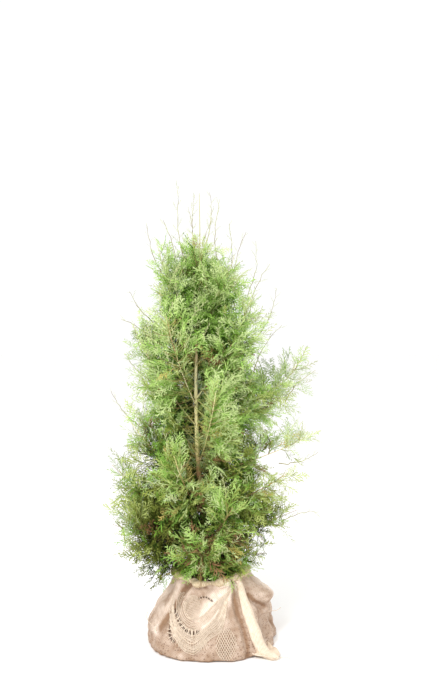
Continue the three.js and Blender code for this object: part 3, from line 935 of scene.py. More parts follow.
# %% Growing the crown of the plant
tier_of = {}
for name in mass_names:
    tier = name.split("_")[1].replace("leader", "top")
    side = "left" if corner_points(name)[:, 0].mean() < trunk_point(0.7)[0] else "right"
    tier_of[name] = tier if tier in ("low", "top") else f"{tier}_{side}"
TIERS_UP = ("low", "skirt", "mid", "waist", "high", "top")
tiers = [tier + side for tier in TIERS_UP for side in ("", "_left", "_right")]
TWIG_RADII, BARE_SHOOT_RADII = (0.0012, 0.0006), (0.0013, 0.0005)
grow_rng = np.random.default_rng(SEED + 1)
all_twigs = []
triangle_count = 0
for tier in [t for t in tiers if t in tier_of.values()]:
    sprays = []
    for tip, owner, shaded in zip(shoot_tips, shoot_owners, shade):
        if tier_of[owner] != tier:
            continue
        line = shoot_line(tip, grow_rng)
        all_twigs.append((line[:-2], *TWIG_RADII))
        sprays += sprays_of(line, shaded, grow_rng)
    if tier == "waist_right":
        sprays += inner_sprays(grow_rng)
    if tier == "top":
        more, lines = bare_shoots(grow_rng)
        sprays += more
        all_twigs += [(line, *BARE_SHOOT_RADII) for line in lines]
    points, triangles, indices = place_sprays(sprays, grow_rng)
    leaves = object_from_arrays("leaves_" + tier, points, triangles, leaf_materials, indices)
    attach(leaves, "root")
    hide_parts(*[n for n in mass_names if tier_of[n] == tier])
    triangle_count += len(triangles)
    print(tier, len(sprays), "sprays,", len(triangles), "triangles")
print("leaves in all:", triangle_count, "triangles")

# %% [markdown]
# ## Twigs
#
# Under its scales every shoot has a thin round twig. It is no thicker than a match, so a
# tube of four sides is enough. Curves with a bevel would do for a few of them, but two
# thousand are made far quicker as arrays of rings.

# %% Twigs


def tubes(lines, sides):
    """Closed tapering tubes along many lines of (points, first radius, last radius), as arrays."""
    all_points, all_triangles, total = [], [], 0
    ring = np.linspace(0, 2 * math.pi, sides, endpoint=False)
    for line, first, last in lines:
        n = len(line)
        way = unit(np.gradient(line, axis=0))
        side = unit(np.cross(way, (0.01, 0.02, 1)))
        over = np.cross(side, way)
        radius = np.linspace(first, last, n)[:, None, None]
        round_it = np.cos(ring)[None, :, None] * side[:, None] + np.sin(ring)[None, :, None] * over[:, None]
        wall = line[:, None] + radius * round_it
        points = np.vstack([wall.reshape(-1, 3), line[:1], line[-1:]])
        i = np.arange(n - 1)[:, None] * sides
        j = np.arange(sides)[None]
        a, b = i + j, i + (j + 1) % sides
        c, d = a + sides, b + sides
        faces = [np.stack([a, c, b], -1).reshape(-1, 3), np.stack([b, c, d], -1).reshape(-1, 3)]
        j = np.arange(sides)
        foot, head, top = n * sides, n * sides + 1, (n - 1) * sides
        faces.append(np.stack([np.full(sides, foot), j, (j + 1) % sides], -1))
        faces.append(np.stack([np.full(sides, head), top + (j + 1) % sides, top + j], -1))
        all_points.append(points)
        all_triangles.append(np.vstack(faces) + total)
        total += len(points)
    return np.vstack(all_points), np.vstack(all_triangles)


# A first-year twig is smooth and a little waxy: green straw, with brown where the bark
# begins to form, in patches three to four centimetres long.
TWIG_PATCHES_A_METRE = 28.0
twig_bark, tree, shader = new_material("thuja twig, first-year bark", 0.6)
place = add_node(tree, "ShaderNodeTexCoord").outputs["Object"]
ageing = add_node(
    tree,
    "ShaderNodeTexNoise",
    inputs={"Vector": place, "Scale": TWIG_PATCHES_A_METRE, "Detail": 3.0},
)
aged = add_node(
    tree,
    "ShaderNodeMapRange",
    inputs={"Value": ageing.outputs["Fac"], "From Min": 0.42, "From Max": 0.62},
)
twig_tones = {"Factor": aged.outputs[0], "A": linear("#A8A862"), "B": linear("#7E6A40")}
twig_colour = add_node(tree, "ShaderNodeMix", {"data_type": "RGBA"}, twig_tones)
tree.links.new(twig_colour.outputs["Result"], shader.inputs["Base Color"])
twig_points, twig_triangles = tubes(all_twigs, 4)
twigs = object_from_arrays("twigs", twig_points, twig_triangles, [twig_bark], smooth=True)
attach(twigs, "root")
print("twigs:", len(all_twigs), "and", len(twig_triangles), "triangles")

# %% [markdown]
# ## Bark
#
# A young thuja has thin bark: straw where it is new, reddish brown further down, with long
# upright fibres that begin to part in strips, and a little bulge where each bough leaves. The
# fibres are worked into the mesh itself. The rings follow the model's own centre lines, and
# every ring is pushed in and out by waves that are long up the stem and short round it.

# %% Fibrous limbs
FIBRE_WAVES, FIBRE_LENGTHS = 10, (0.05, 0.2)
KNOT_SPACING = 34 * MM


def fibrous(line, radii, sides, relief, rng):
    """A closed limb with fibres: a tube whose rings are pushed in and out, as arrays."""
    count = len(line)
    way = unit(np.gradient(line, axis=0))
    side = unit(np.cross(way, (0.02, 1, 0.03)))
    over = np.cross(side, way)
    phi = np.linspace(0, 2 * math.pi, sides, endpoint=False)[None]
    run = along_line(line)[:, None]
    push = 0
    for _ in range(FIBRE_WAVES):
        fold = rng.integers(2, sides // 2)
        length, phase = rng.uniform(*FIBRE_LENGTHS), rng.uniform(0, 6)
        push = push + np.sin(fold * phi + 2 * math.pi * run / length + phase) / math.sqrt(FIBRE_WAVES)
    knots = np.sin(2 * math.pi * run / KNOT_SPACING + 2 * np.sin(9 * run)) ** 8
    radius = np.asarray(radii)[:, None] * (1 + relief * push + 0.5 * relief * knots)
    wall = line[:, None] + side[:, None] * (radius * np.cos(phi))[..., None]
    wall = wall + over[:, None] * (radius * np.sin(phi))[..., None]
    return np.vstack([wall.reshape(-1, 3), line[:1], line[-1:]])


def ring_faces(count, sides, first=0, closed=False):
    """Triangles between rings of points, and fans over both ends unless the rings close up."""
    faces = []
    for i in range(count if closed else count - 1):
        a = first + i * sides + np.arange(sides)
        b = first + i * sides + (np.arange(sides) + 1) % sides
        step = sides if i < count - 1 else -i * sides
        faces += [np.stack([a, b, a + step], 1), np.stack([b, b + step, a + step], 1)]
    if not closed:
        foot, top = first + count * sides, first + (count - 1) * sides
        a, b = np.arange(sides), (np.arange(sides) + 1) % sides
        faces.append(np.stack([first + b, first + a, np.full(sides, foot)], 1))
        faces.append(np.stack([top + a, top + b, np.full(sides, foot + 1)], 1))
    return np.vstack(faces)


# %% [markdown]
# The trunk thins towards its leader. A bough is thickest at its collar, where it leaves the
# trunk, and ends as a thread inside its foliage.

# %% Trunk and boughs
TRUNK_RINGS, TRUNK_SIDES, BOUGH_RINGS, BOUGH_SIDES = 420, 28, 40, 12
TRUNK_TAPER = ([0.3, 0.5, 1.0, 1.2], [1.0, 0.85, 0.85, 0.55])
BOUGH_TAPER = ([0, 0.06, 0.2, 1], [1.9, 1.2, 0.85])
BOUGH_TIP = 0.6 * MM
TRUNK_RELIEF, BOUGH_RELIEF = 0.09, 0.08
bark_rng = np.random.default_rng(SEED + 11)
stem = smooth_line(trunk_rings, TRUNK_RINGS)
stem_radii = np.interp(stem[:, 2], trunk_rings[:, 2], trunk_radii)
stem_radii = stem_radii * np.interp(stem[:, 2], *TRUNK_TAPER)
bark_points = [fibrous(stem, stem_radii, TRUNK_SIDES, TRUNK_RELIEF, bark_rng)]
bark_faces = [ring_faces(TRUNK_RINGS, TRUNK_SIDES)]
total = len(bark_points[0])
for start_line, spine, radius in boughs.values():
    limb = smooth_line(np.vstack([start_line, spine[4:]]), BOUGH_RINGS)
    along = np.linspace(0, 1, BOUGH_RINGS)
    steps = [radius * share for share in BOUGH_TAPER[1]] + [BOUGH_TIP]
    radii = np.interp(along, BOUGH_TAPER[0], steps)
    bark_points.append(fibrous(limb, radii, BOUGH_SIDES, BOUGH_RELIEF, bark_rng))
    bark_faces.append(ring_faces(BOUGH_RINGS, BOUGH_SIDES, total))
    total += len(bark_points[-1])
bark_points, bark_faces = np.vstack(bark_points), np.vstack(bark_faces)
limbs = object_from_arrays("trunk_and_boughs", bark_points, bark_faces, [], smooth=True)
print("bark:", len(limbs.data.polygons), "faces")

# %% [markdown]
# The bark's colour goes up the stem: brown near the soil, darker there as painted shade,
# straw along the parting, pushed almost to white there as painted light against the shade of
# the foliage round it, and green again in the leader. A ramp over the height gives that.
# Fine noise, stretched upwards, adds the fibres, and coarser noise wears them off in patches.

# %% Bark
# Thin dry bark scatters light evenly, so it is matt. Its fibres are about one and a half
# millimetres wide and twelve times as long.
FIBRES_A_METRE, FIBRE_STRETCH, PATCHES_A_METRE = 700.0, 0.08, 60.0
# The near-white tones along the parting are painted light, and the browns at the foot are partly painted
# shade.
BARK_TONES = [
    (0.00, "#684A34"),
    (0.33, "#7E5C40"),
    (0.50, "#C49A6A"),
    (0.57, "#F2E6A4"),
    (0.80, "#FFF6C4"),
    (0.86, "#C8A076"),
    (1.00, "#C2BC80"),
    (1.32, "#B4B27C"),
]
BARK_TOP = BARK_TONES[-1][0]
bark, tree, shader = new_material("young thuja bark, fibrous", 0.75, 1.5)
place = add_node(tree, "ShaderNodeTexCoord").outputs["Object"]
axes = add_node(tree, "ShaderNodeSeparateXYZ", inputs={"Vector": place})
height = add_node(tree, "ShaderNodeMapRange", inputs={"Value": axes.outputs["Z"], "From Max": BARK_TOP})
tones = add_node(tree, "ShaderNodeValToRGB", inputs={"Fac": height.outputs[0]})
ramp = tones.color_ramp
while len(ramp.elements) < len(BARK_TONES):
    ramp.elements.new(0.5)
for element, (at, code) in zip(ramp.elements, BARK_TONES):
    element.position = at / BARK_TOP
    element.color = linear(code)
stretching = {"Vector": place, "Scale": (1.0, 1.0, FIBRE_STRETCH)}
stretched = add_node(tree, "ShaderNodeMapping", inputs=stretching)
fibres = add_node(
    tree,
    "ShaderNodeTexNoise",
    inputs={"Vector": stretched.outputs[0], "Scale": FIBRES_A_METRE, "Detail": 4.0, "Roughness": 0.6},
)
patches = add_node(
    tree,
    "ShaderNodeTexNoise",
    inputs={"Vector": place, "Scale": PATCHES_A_METRE, "Detail": 2.0},
)
streaks = add_node(
    tree,
    "ShaderNodeMath",
    {"operation": "MULTIPLY"},
    {0: fibres.outputs["Fac"], 1: patches.outputs["Fac"]},
)
worn = add_node(
    tree,
    "ShaderNodeMapRange",
    inputs={"Value": streaks.outputs[0], "From Min": 0.18, "From Max": 0.34},
)
deep = add_node(
    tree,
    "ShaderNodeMix",
    {"data_type": "RGBA", "blend_type": "MULTIPLY"},
    {"Factor": 0.15, "A": tones.outputs["Color"], "B": linear("#A88660")},
)
colour = add_node(
    tree,
    "ShaderNodeMix",
    {"data_type": "RGBA"},
    {"Factor": worn.outputs[0], "A": deep.outputs["Result"], "B": tones.outputs["Color"]},
)
bump = add_node(
    tree,
    "ShaderNodeBump",
    inputs={"Height": fibres.outputs["Fac"], "Strength": 0.5, "Distance": 0.0008},
)
tree.links.new(colour.outputs["Result"], shader.inputs["Base Color"])
tree.links.new(bump.outputs["Normal"], shader.inputs["Normal"])
limbs.data.materials.append(bark)
print("the bark runs through", len(BARK_TONES), "tones up to", BARK_TOP, "m")
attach(limbs, "root")
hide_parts("trunk", *["bough_" + n for n in BOUGH_NAMES])

# %% [markdown]
# ## The sack
#
# The ball of soil is wrapped in a square of jute burlap, whose corners are drawn up and
# gathered under the crown. Cloth like this could be dropped on by a cloth simulation, but its
# folds have to lie where the real ones do, so a grid is drawn round the model's own sack
# instead and its vertices are moved in and out along the folds. The folds are listed by the
# run of their crest across the front, in metres, level and up. The back and the sides get
# folds of their own by a seeded rule.

# %% The outline of the sack
SACK_TURNS, SACK_ROWS = 360, 84
FOOT_ROWS, LIP_ROWS = 10, 8
RIM_HEIGHT = 0.203
wrap_tree = surface_of("burlap_wrap")


def blur(table, turns, rows):
    """Smooths a table round the turn, where it closes, and up the rows, where it doesn't."""
    for _ in range(turns):
        table = (np.roll(table, 1, 0) + 2 * table + np.roll(table, -1, 0)) / 4
    for _ in range(rows):
        padded = np.pad(table, ((0, 0), (1, 1)), mode="edge")
        table = (padded[:, :-2] + 2 * padded[:, 1:-1] + padded[:, 2:]) / 4
    return table


def sack_table():
    """The sack's outer radius at each degree of turn and each row of height, without facets."""
    table = np.empty((360, SACK_ROWS))
    for i in range(360):
        out = Vector((math.cos(math.radians(i)), math.sin(math.radians(i)), 0))
        for j, z in enumerate(np.linspace(0.002, RIM_HEIGHT, SACK_ROWS)):
            hit = wrap_tree.ray_cast(out * 0.5 + Vector((0, 0, z)), -out)[0]
            table[i, j] = hit.xy.length
    return blur(table, turns=60, rows=8)


sack_radii = sack_table()
print("the sack's radius is", sack_radii[:, 0].mean().round(3), "to", sack_radii[:, -1].mean().round(3))


def sack_radius(turn, share):
    """The sack's radius at turns in radians and shares of its height, between the table's rows."""
    degree = np.degrees(turn) % 360
    at = np.clip(share, 0, 1) * (SACK_ROWS - 1)
    low, below = degree.astype(int) % 360, np.minimum(at.astype(int), SACK_ROWS - 2)
    high, part, rest = (low + 1) % 360, degree % 1, at - below
    near = sack_radii[low, below] * (1 - rest) + sack_radii[low, below + 1] * rest
    far = sack_radii[high, below] * (1 - rest) + sack_radii[high, below + 1] * rest
    return near * (1 - part) + far * part


# %% [markdown]
# A fold is a crest and how the cloth falls away from it. On the front the folds run from
# the rim down to the left, along a smooth taut cone in the middle and into a deep furrow on
# the right, and fine pleats fan out from the gather, where a corner was drawn through.

# %% Folds of the cloth
# Each fold: its crest as (across, up) in metres on the front of the sack, how far to each side
# it falls away, and how far it stands out (or in, when negative).
TAUT_CONE = [(0.059, 0.190), (0.014, 0.142), (-0.022, 0.104)]
LEFT_RIDGE = [(-0.086, 0.205), (-0.110, 0.142), (-0.136, 0.099), (-0.158, 0.059)]
LEFT_VALLEY = [(-0.054, 0.190), (-0.082, 0.158), (-0.100, 0.126), (-0.123, 0.095), (-0.146, 0.066)]
FURROW = [(0.062, 0.196), (0.066, 0.149), (0.074, 0.115), (0.092, 0.077), (0.100, 0.040), (0.104, 0.010)]
FRONT_FOLDS = [
    (LEFT_RIDGE, 0.014, 0.013),
    (LEFT_VALLEY, 0.0065, -0.011),
    ([(-0.040, 0.192), (-0.062, 0.171), (-0.075, 0.142), (-0.083, 0.115)], 0.007, 0.009),
    ([(-0.092, 0.200), (-0.106, 0.160), (-0.134, 0.120)], 0.005, -0.010),
    ([(-0.112, 0.190), (-0.138, 0.140), (-0.166, 0.095), (-0.176, 0.050)], 0.010, 0.006),
    ([(-0.020, 0.178), (0.010, 0.170), (0.040, 0.180)], 0.005, -0.004),
    (TAUT_CONE, 0.020, 0.009),
    ([(0.057, 0.188), (0.030, 0.110), (0.010, 0.060)], 0.004, 0.003),
    ([(0.060, 0.188), (0.046, 0.120), (0.040, 0.080)], 0.004, 0.003),
    ([(0.052, 0.180), (0.036, 0.130), (0.020, 0.085)], 0.0035, -0.003),
    (FURROW, 0.007, -0.013),
    ([(0.106, 0.146), (0.1235, 0.130), (0.156, 0.104)], 0.0055, -0.015),
    ([(0.100, 0.178), (0.128, 0.158), (0.164, 0.128)], 0.010, 0.012),
    ([(0.138, 0.120), (0.150, 0.070), (0.172, 0.020)], 0.012, -0.007),
    ([(0.160, 0.110), (0.172, 0.070), (0.180, 0.030)], 0.006, 0.005),
    ([(-0.150, 0.020), (-0.090, 0.006), (-0.020, 0.004), (0.060, 0.006)], 0.007, 0.004),
]
# On the right side the cloth bulges over a hollow: turn and width in degrees, height, how far
# up and down, and how far out.
SIDE_SWELLS = [(-6, 22, 0.142, 0.026, 0.032), (-10, 30, 0.050, 0.036, -0.012)]
DRAPE = {"x": 0.059, "z": 0.190, "count": 19, "depth": 0.0026, "fall": 0.075}
GATHERS = {"count": 26, "depth": 0.0028, "fall": 0.030}
BACK_FOLDS = {"count": 12, "width": 0.010, "depth": 0.0065, "from": -5, "span": 190}
LUMPS = ((0.0018, 0.07), (0.0010, 0.024))
FRONT_FADE = 0.04
print(len(FRONT_FOLDS), "folds on the front and", BACK_FOLDS["count"], "round the back")

# %% [markdown]
# The folds, the pleats, the gathers under the rim and a soft unevenness are added up into
# one depth for each place, so that any piece that lies on the sack can ask for it too.

# %% How far the cloth stands out


def distance_to_line(x, z, line):
    """The distance of many places to a line of points, all in one plane."""
    best = np.full(np.shape(x), 9.0)
    for (ax, az), (bx, bz) in zip(line, line[1:]):
        dx, dz = bx - ax, bz - az
        t = np.clip(((x - ax) * dx + (z - az) * dz) / (dx * dx + dz * dz), 0, 1)
        best = np.minimum(best, np.hypot(x - ax - t * dx, z - az - t * dz))
    return best


def ripples(rng, wavelength, *places):
    """Smooth seeded lumps: waves of one length laid over each other in every direction."""
    total = 0
    for _ in range(14):
        way = unit(rng.normal(0, 1, len(places)))
        run = sum(w * p for w, p in zip(way, places))
        total = total + np.sin(2 * math.pi / wavelength * run + rng.uniform(0, 2 * math.pi))
    return total / math.sqrt(7)


def turn_apart(turn, other):
    """The angle from one turn to another, the short way round."""
    return np.angle(np.exp(1j * (turn - other)))


def fold_depth(turn, z, radius):
    """How far the cloth stands out at each place of the sack."""
    x, y = radius * np.cos(turn), radius * np.sin(turn)
    rng = np.random.default_rng(SEED + 4)
    facing = np.clip(-y / FRONT_FADE, 0, 1)
    depth = sum(high * ripples(rng, wavelength, x, y, z) for high, wavelength in LUMPS)
    warp = turn + 0.12 * ripples(rng, 0.09, x, y, z)
    near_rim = np.exp(-(RIM_HEIGHT - z) / GATHERS["fall"])
    depth = depth + GATHERS["depth"] * np.sin(GATHERS["count"] * warp) * near_rim
    for line, width, rise in FRONT_FOLDS:
        depth = depth + rise * np.exp(-((distance_to_line(x, z, line) / width) ** 2)) * facing
    gx, gz = DRAPE["x"], DRAPE["z"]
    away = np.hypot(x - gx, z - gz)
    rays = np.sin(DRAPE["count"] * np.arctan2(z - gz, x - gx) + ripples(rng, 0.06, x, z))
    pleats = DRAPE["depth"] * rays * np.exp(-away / DRAPE["fall"])
    depth = depth + pleats * np.clip(away / 0.02, 0, 1) * facing
    for swell_turn, wide, middle, high, rise in SIDE_SWELLS:
        near = np.exp(-((turn_apart(turn, math.radians(swell_turn)) / math.radians(wide)) ** 2))
        depth = depth + rise * near * np.exp(-(((z - middle) / high) ** 2))
    for k in range(BACK_FOLDS["count"]):
        share = (k + rng.uniform(0.2, 0.8)) / BACK_FOLDS["count"]
        crest = math.radians(BACK_FOLDS["from"] + BACK_FOLDS["span"] * share)
        low = rng.uniform(0.0, 0.09)
        crest = crest + rng.normal(0, 2.4) * (z - low)
        near = np.exp(-((turn_apart(turn, crest) * radius / BACK_FOLDS["width"]) ** 2))
        rise = rng.choice([-1, 1.4]) * BACK_FOLDS["depth"]
        depth = depth + rise * near * np.clip((z - low) / 0.05, 0, 1)
    return depth


def rim_height(turn):
    """The height of the rim, which sags between the gathers."""
    front = np.exp(-((turn_apart(turn, math.radians(-95)) / 0.42) ** 2))
    return RIM_HEIGHT - 0.009 * front - 0.003 * np.sin(3 * turn + 1) - 0.003


# %% [markdown]
# A grid wound round the axis gives both the cloth and the soil in it. Its first row is the
# middle of the underside and the rows run out, up the wall and over the rim. The seam and
# the poles are welded, then the normals are made to face outwards.

# %% Winding a grid round the axis


def wound(name, turns, rows, shape, scale_uv):
    """A smooth closed skin: shape gives the places for turns in radians and rows from 0 up."""
    bpy.ops.object.select_all(action="DESELECT")
    bpy.ops.mesh.primitive_grid_add(x_subdivisions=turns, y_subdivisions=rows, size=1)
    made = bpy.context.object
    made.name = name
    flat = np.empty(3 * len(made.data.vertices))
    made.data.vertices.foreach_get("co", flat)
    across, up = (flat.reshape(-1, 3)[:, :2] + 0.5).T
    points = shape(math.pi / 2 + 2 * math.pi * across, up * rows)
    made.data.vertices.foreach_set("co", points.ravel())
    uv = made.data.uv_layers.active.data
    pairs = np.empty(2 * len(uv))
    uv.foreach_get("uv", pairs)
    uv.foreach_set("uv", (pairs.reshape(-1, 2) * scale_uv).ravel())
    bpy.ops.object.mode_set(mode="EDIT")
    bpy.ops.mesh.select_all(action="SELECT")
    bpy.ops.mesh.remove_doubles(threshold=0.00002)
    bpy.ops.mesh.normals_make_consistent(inside=False)
    bpy.ops.object.mode_set(mode="OBJECT")
    bpy.ops.object.shade_smooth()
    print(name, "has", len(made.data.polygons), "faces")
    return made


# The foot tucks in where it meets the ground, and the lip turns in and down over the rim.
TUCK, LIP_IN, LIP_DOWN = 0.004, 0.012, 0.014


def sack_shape(turn, row):
    """The cloth: out from under the middle, up the wall, over the rim and a little down."""
    share = np.clip((row - FOOT_ROWS) / SACK_ROWS, 0, 1)
    under = np.clip(1 - row / FOOT_ROWS, 0, 1)
    lip = np.clip((row - FOOT_ROWS - SACK_ROWS) / LIP_ROWS, 0, 1) * math.pi / 2
    radius = sack_radius(turn, share)
    z = share * rim_height(turn)
    radius = radius + fold_depth(turn, z, radius) - TUCK * np.clip(1 - z / 0.005, 0, 1)
    radius = radius * (1 - under) - LIP_IN * np.sin(lip)
    z = np.maximum(z, 0.001) - LIP_DOWN * (1 - np.cos(lip))
    return np.stack([radius * np.cos(turn), radius * np.sin(turn), z], axis=1)


# The cloth's real size round and up, so that the weave comes out at its pitch on the UV map.
ALL_ROWS = FOOT_ROWS + SACK_ROWS + LIP_ROWS
SACK_GIRTH, SACK_RUN = 1.08, 0.0024 * ALL_ROWS
sack = wound("burlap_sack", SACK_TURNS, ALL_ROWS, sack_shape, (SACK_GIRTH, SACK_RUN))
corners = [v.co for v in sack.data.vertices]
sack_tree = BVHTree.FromPolygons(corners, [p.vertices for p in sack.data.polygons])

# %% [markdown]
# ## Pulled threads
#
# On the front the threads of the weave are pulled apart: they hang in nested bows from the
# left and run together to the gather on the right, with a ladder of holes between two of the
# bows. Lower right the weave is open like a net. Bump alone would look printed on here, so
# these threads are real ones: thin tubes that lie on the cloth and dip under each other.

# %% Laying a thread on the front of the sack
# The bows hang from their middle on the left. The ladders are rows of rungs: their path, how
# far apart the rungs stand, and half their length. The net and the veil are ovals.
BOWS = {"x": -0.052, "z": 0.126, "gather": (0.059, 0.187)}
BOW_REACHES = [*np.arange(0.0225, 0.0490, 0.0031), *np.arange(0.0580, 0.1010, 0.0033)]
LONG_LADDER = [(-0.102, 0.112), (-0.096, 0.106), (-0.084, 0.087), (-0.066, 0.074), (-0.050, 0.0725)]
LADDERS = [
    ([*LONG_LADDER, (-0.036, 0.0745)], 0.0105, 0.0046),
    ([(-0.113, 0.084), (-0.1165, 0.070), (-0.115, 0.056), (-0.104, 0.0455)], 0.0095, 0.0036),
    ([(-0.034, 0.150), (-0.0215, 0.1545), (-0.008, 0.152), (0.004, 0.147)], 0.0080, 0.0021),
]
NET = {"x": 0.042, "z": 0.045, "half_x": 0.026, "half_z": 0.034, "pitch": 0.0058, "slant": 58}
VEIL = {"x": BOWS["x"], "z": BOWS["z"] + 0.004, "half_x": 0.020, "half_z": 0.026, "pitch": 0.0036}
YARN = 0.0010
yarn_rng = np.random.default_rng(SEED + 5)


def on_front(x, z):
    """The cloth's front at a place across and up, and its direction outwards."""
    hit, out, _, _ = sack_tree.ray_cast(Vector((x, -0.6, z)), Vector((0, 1, 0)))
    return (np.array(hit), np.array(out)) if hit else (None, None)


def laid(path, step=0.0022, lift=0.0009):
    """A thread along a path of (across, up), lying on the cloth and dipping as it goes."""
    corners = np.array([(x, 0.0, z) for x, z in path])
    run = np.linalg.norm(np.diff(corners, axis=0), axis=1).sum()
    line = smooth_line(corners, max(int(run / step), 3))
    phase = yarn_rng.uniform(0, 6)
    made = []
    for i, (x, _, z) in enumerate(line):
        place, out = on_front(x, z)
        if place is not None and z > 0.004:
            made.append(place + out * lift * (1 + 0.7 * math.sin(i * 1.9 + phase)))
    return np.array(made)


def bow_path(reach):
    """The path of one bow, by how far it hangs from the middle of the bows."""
    cx, cz = BOWS["x"], BOWS["z"]
    far = (reach - 0.03) / 0.068
    first = 122 + 70 * max(far, -0.1)
    wide = min(reach, 0.055 + 0.35 * (reach - 0.055))
    turns = np.radians(np.linspace(first, 278, 7))
    path = [(cx + wide * math.cos(a), cz + reach * math.sin(a)) for a in turns]
    path.append((cx + 0.0255 + 0.0205 * far, cz - 0.022 - 0.045 * far))
    path.append((cx + 0.058 + 0.026 * far, cz + 0.005 - 0.041 * far))
    gx, gz = BOWS["gather"]
    path.append((gx + 0.004 - 0.010 * far, gz - 0.004))
    return path


# %% [markdown]
# The bows are laid first, then the rungs of the ladders, which are thicker, because several
# threads run together in each, and then short threads across the bows, like spokes.

# %% Bows, ladders and spokes
BOW_LIFT, RUNG_LIFT, RUNG_EXTRA = 0.0012, 0.0013, 0.003
SPOKES = {"from": 205, "to": 300, "step": 4.5, "start": 0.046, "short": 0.048, "more": 0.052}
threads = []
for reach in BOW_REACHES:
    path = np.array(bow_path(reach + yarn_rng.normal(0, 0.0005)))
    path = path + yarn_rng.normal(0, 0.0005, path.shape)
    line = laid(path[yarn_rng.integers(0, 2) :], lift=BOW_LIFT)
    threads.append((line, YARN * yarn_rng.uniform(0.7, 1.25)))
for path, step, half in LADDERS:
    row = smooth_line(np.array([(px, 0.0, pz) for px, pz in path]), 60)
    run = np.linalg.norm(np.diff(row, axis=0), axis=1).sum()
    for share in np.arange(0.04, 1.0, step / run):
        place, go = point_on(row, share)
        lean = np.array([-go[2], 0, go[0]]) + go * yarn_rng.normal(0, 0.15)
        ends = [place + lean * side * (half + RUNG_EXTRA) for side in (-1, 0, 1)]
        line = laid([(e[0], e[2]) for e in ends], lift=RUNG_LIFT)
        threads.append((line, max(0.35 * half, 0.0009)))
for degree in np.arange(SPOKES["from"], SPOKES["to"], SPOKES["step"]):
    a = math.radians(degree + yarn_rng.normal(0, 1))
    far = SPOKES["short"] + SPOKES["more"] * np.clip((degree - SPOKES["from"]) / 30, 0.3, 1)
    reaches = np.linspace(SPOKES["start"], far, 5)
    path = [(BOWS["x"] + r * math.cos(a), BOWS["z"] + r * math.sin(a)) for r in reaches]
    path = np.array(path) + yarn_rng.normal(0, 0.0007, (5, 2))
    threads.append((laid(path), YARN * 0.7))
print(len(threads), "threads in the bows and ladders")

# %% [markdown]
# A net is two sets of parallel threads at a slant to each other. Each is cut off at the
# oval, so the net ends softly in the closed cloth.

# %% The net and the veil of open weave
NET_REACH, NET_LINES, NET_STEPS = 0.05, 9, 60
VEIL_SLANTS = (15, 105)


def net_lines(slant, net):
    """Parallel lines at a slant, cut off at an oval."""
    a = math.radians(slant)
    along, across = np.array([math.cos(a), math.sin(a)]), np.array([-math.sin(a), math.cos(a)])
    lines = []
    for k in range(-NET_LINES, NET_LINES + 1):
        steps = np.linspace(-NET_REACH, NET_REACH, NET_STEPS)
        stops = [across * k * net["pitch"] + along * t for t in steps]
        kept = [p for p in stops if math.hypot(p[0] / net["half_x"], p[1] / net["half_z"]) < 1.15]
        run = [(net["x"] + p[0], net["z"] + p[1]) for p in kept]
        if len(run) > 5:
            lines.append(run[::4] + [run[-1]])
    return lines


for slant in (NET["slant"], 180 - NET["slant"]):
    for path in net_lines(slant, NET):
        path = np.array(path) + yarn_rng.normal(0, 0.0004, (len(path), 2))
        threads.append((laid(path), YARN * yarn_rng.uniform(0.6, 0.9)))
for slant in VEIL_SLANTS:
    threads += [(laid(path), YARN * 0.6) for path in net_lines(slant, VEIL)]
threads = [(line, thick) for line, thick in threads if len(line) > 3]
print(len(threads), "pulled threads")

# %% [markdown]
# ## Rolls, hem and corner
#
# Where the cloth is bunched it lies in thick soft rolls: one from the gather down to the loose
# corner, and the hem, which is rolled in round the whole rim like a loose rope. A roll could
# be a curve with a round bevel, but its width and height change along the way, so its rings
# are set out one by one. The loose corner lies flat on the ground with turned-up edges.

# %% Soft rolls of cloth


UNEVEN = 0.06


def roll(line, out, widths, heights, sides, strands, twist, lump, rng):
    """A closed roll along a line: flattened rings with soft strands that wind round it."""
    way = unit(np.gradient(line, axis=0))
    out = unit(out - way * (out * way).sum(1, keepdims=True))
    side = np.cross(out, way)
    phi = np.linspace(0, 2 * math.pi, sides, endpoint=False)[None]
    run = along_line(line)[:, None]
    lumps = 1 + UNEVEN * np.sin(strands * phi + twist * run)
    lumps = lumps + UNEVEN * ripples(rng, lump, run + 0 * phi, 0.01 * phi)
    wide = np.asarray(widths)[:, None] / 2 * lumps
    high = np.asarray(heights)[:, None] * lumps
    wall = line[:, None] + side[:, None] * (wide * np.cos(phi))[..., None]
    return wall + out[:, None] * (high * np.sin(phi))[..., None]


ROLL_PATH = [(0.070, 0.199), (0.081, 0.180), (0.091, 0.149), (0.106, 0.104), (0.121, 0.063), (0.134, 0.032)]
ROLL_FOOT = [(0.150, -0.160, 0.012), (0.170, -0.178, 0.009), (0.188, -0.192, 0.008)]
ROLL_SIZES = {
    "at": [0, 0.15, 0.5, 0.8, 0.95, 1],
    "width": [12, 26, 40, 40, 26, 6],
    "height": [5, 9, 12, 11, 8, 3],
}
ROLL_RINGS, ROLL_SIDES = 110, 28
crest = [on_front(x, z)[0] - (0, 0.001, 0) for x, z in ROLL_PATH]
roll_line = smooth_line(np.vstack([crest, ROLL_FOOT]), ROLL_RINGS)
roll_out = unit(roll_line * (1, 1, 0)) + np.array([0, 0, 0.45])
share = np.linspace(0, 1, len(roll_line))
widths = np.interp(share, ROLL_SIZES["at"], ROLL_SIZES["width"]) * MM
heights = np.interp(share, ROLL_SIZES["at"], ROLL_SIZES["height"]) * MM
roll_rng = np.random.default_rng(SEED + 6)
roll_wall = roll(
    roll_line, roll_out, widths, heights, ROLL_SIDES, strands=5, twist=9, lump=0.07, rng=roll_rng
)
roll_wall[..., 2] = np.maximum(roll_wall[..., 2], 0.0008)
ends = [roll_wall[0].mean(0)[None], roll_wall[-1].mean(0)[None]]
roll_points = np.vstack([roll_wall.reshape(-1, 3), *ends])
roll_faces = ring_faces(ROLL_RINGS, ROLL_SIDES)
roll_piece = object_from_arrays("burlap_roll", roll_points, roll_faces, [], smooth=True)
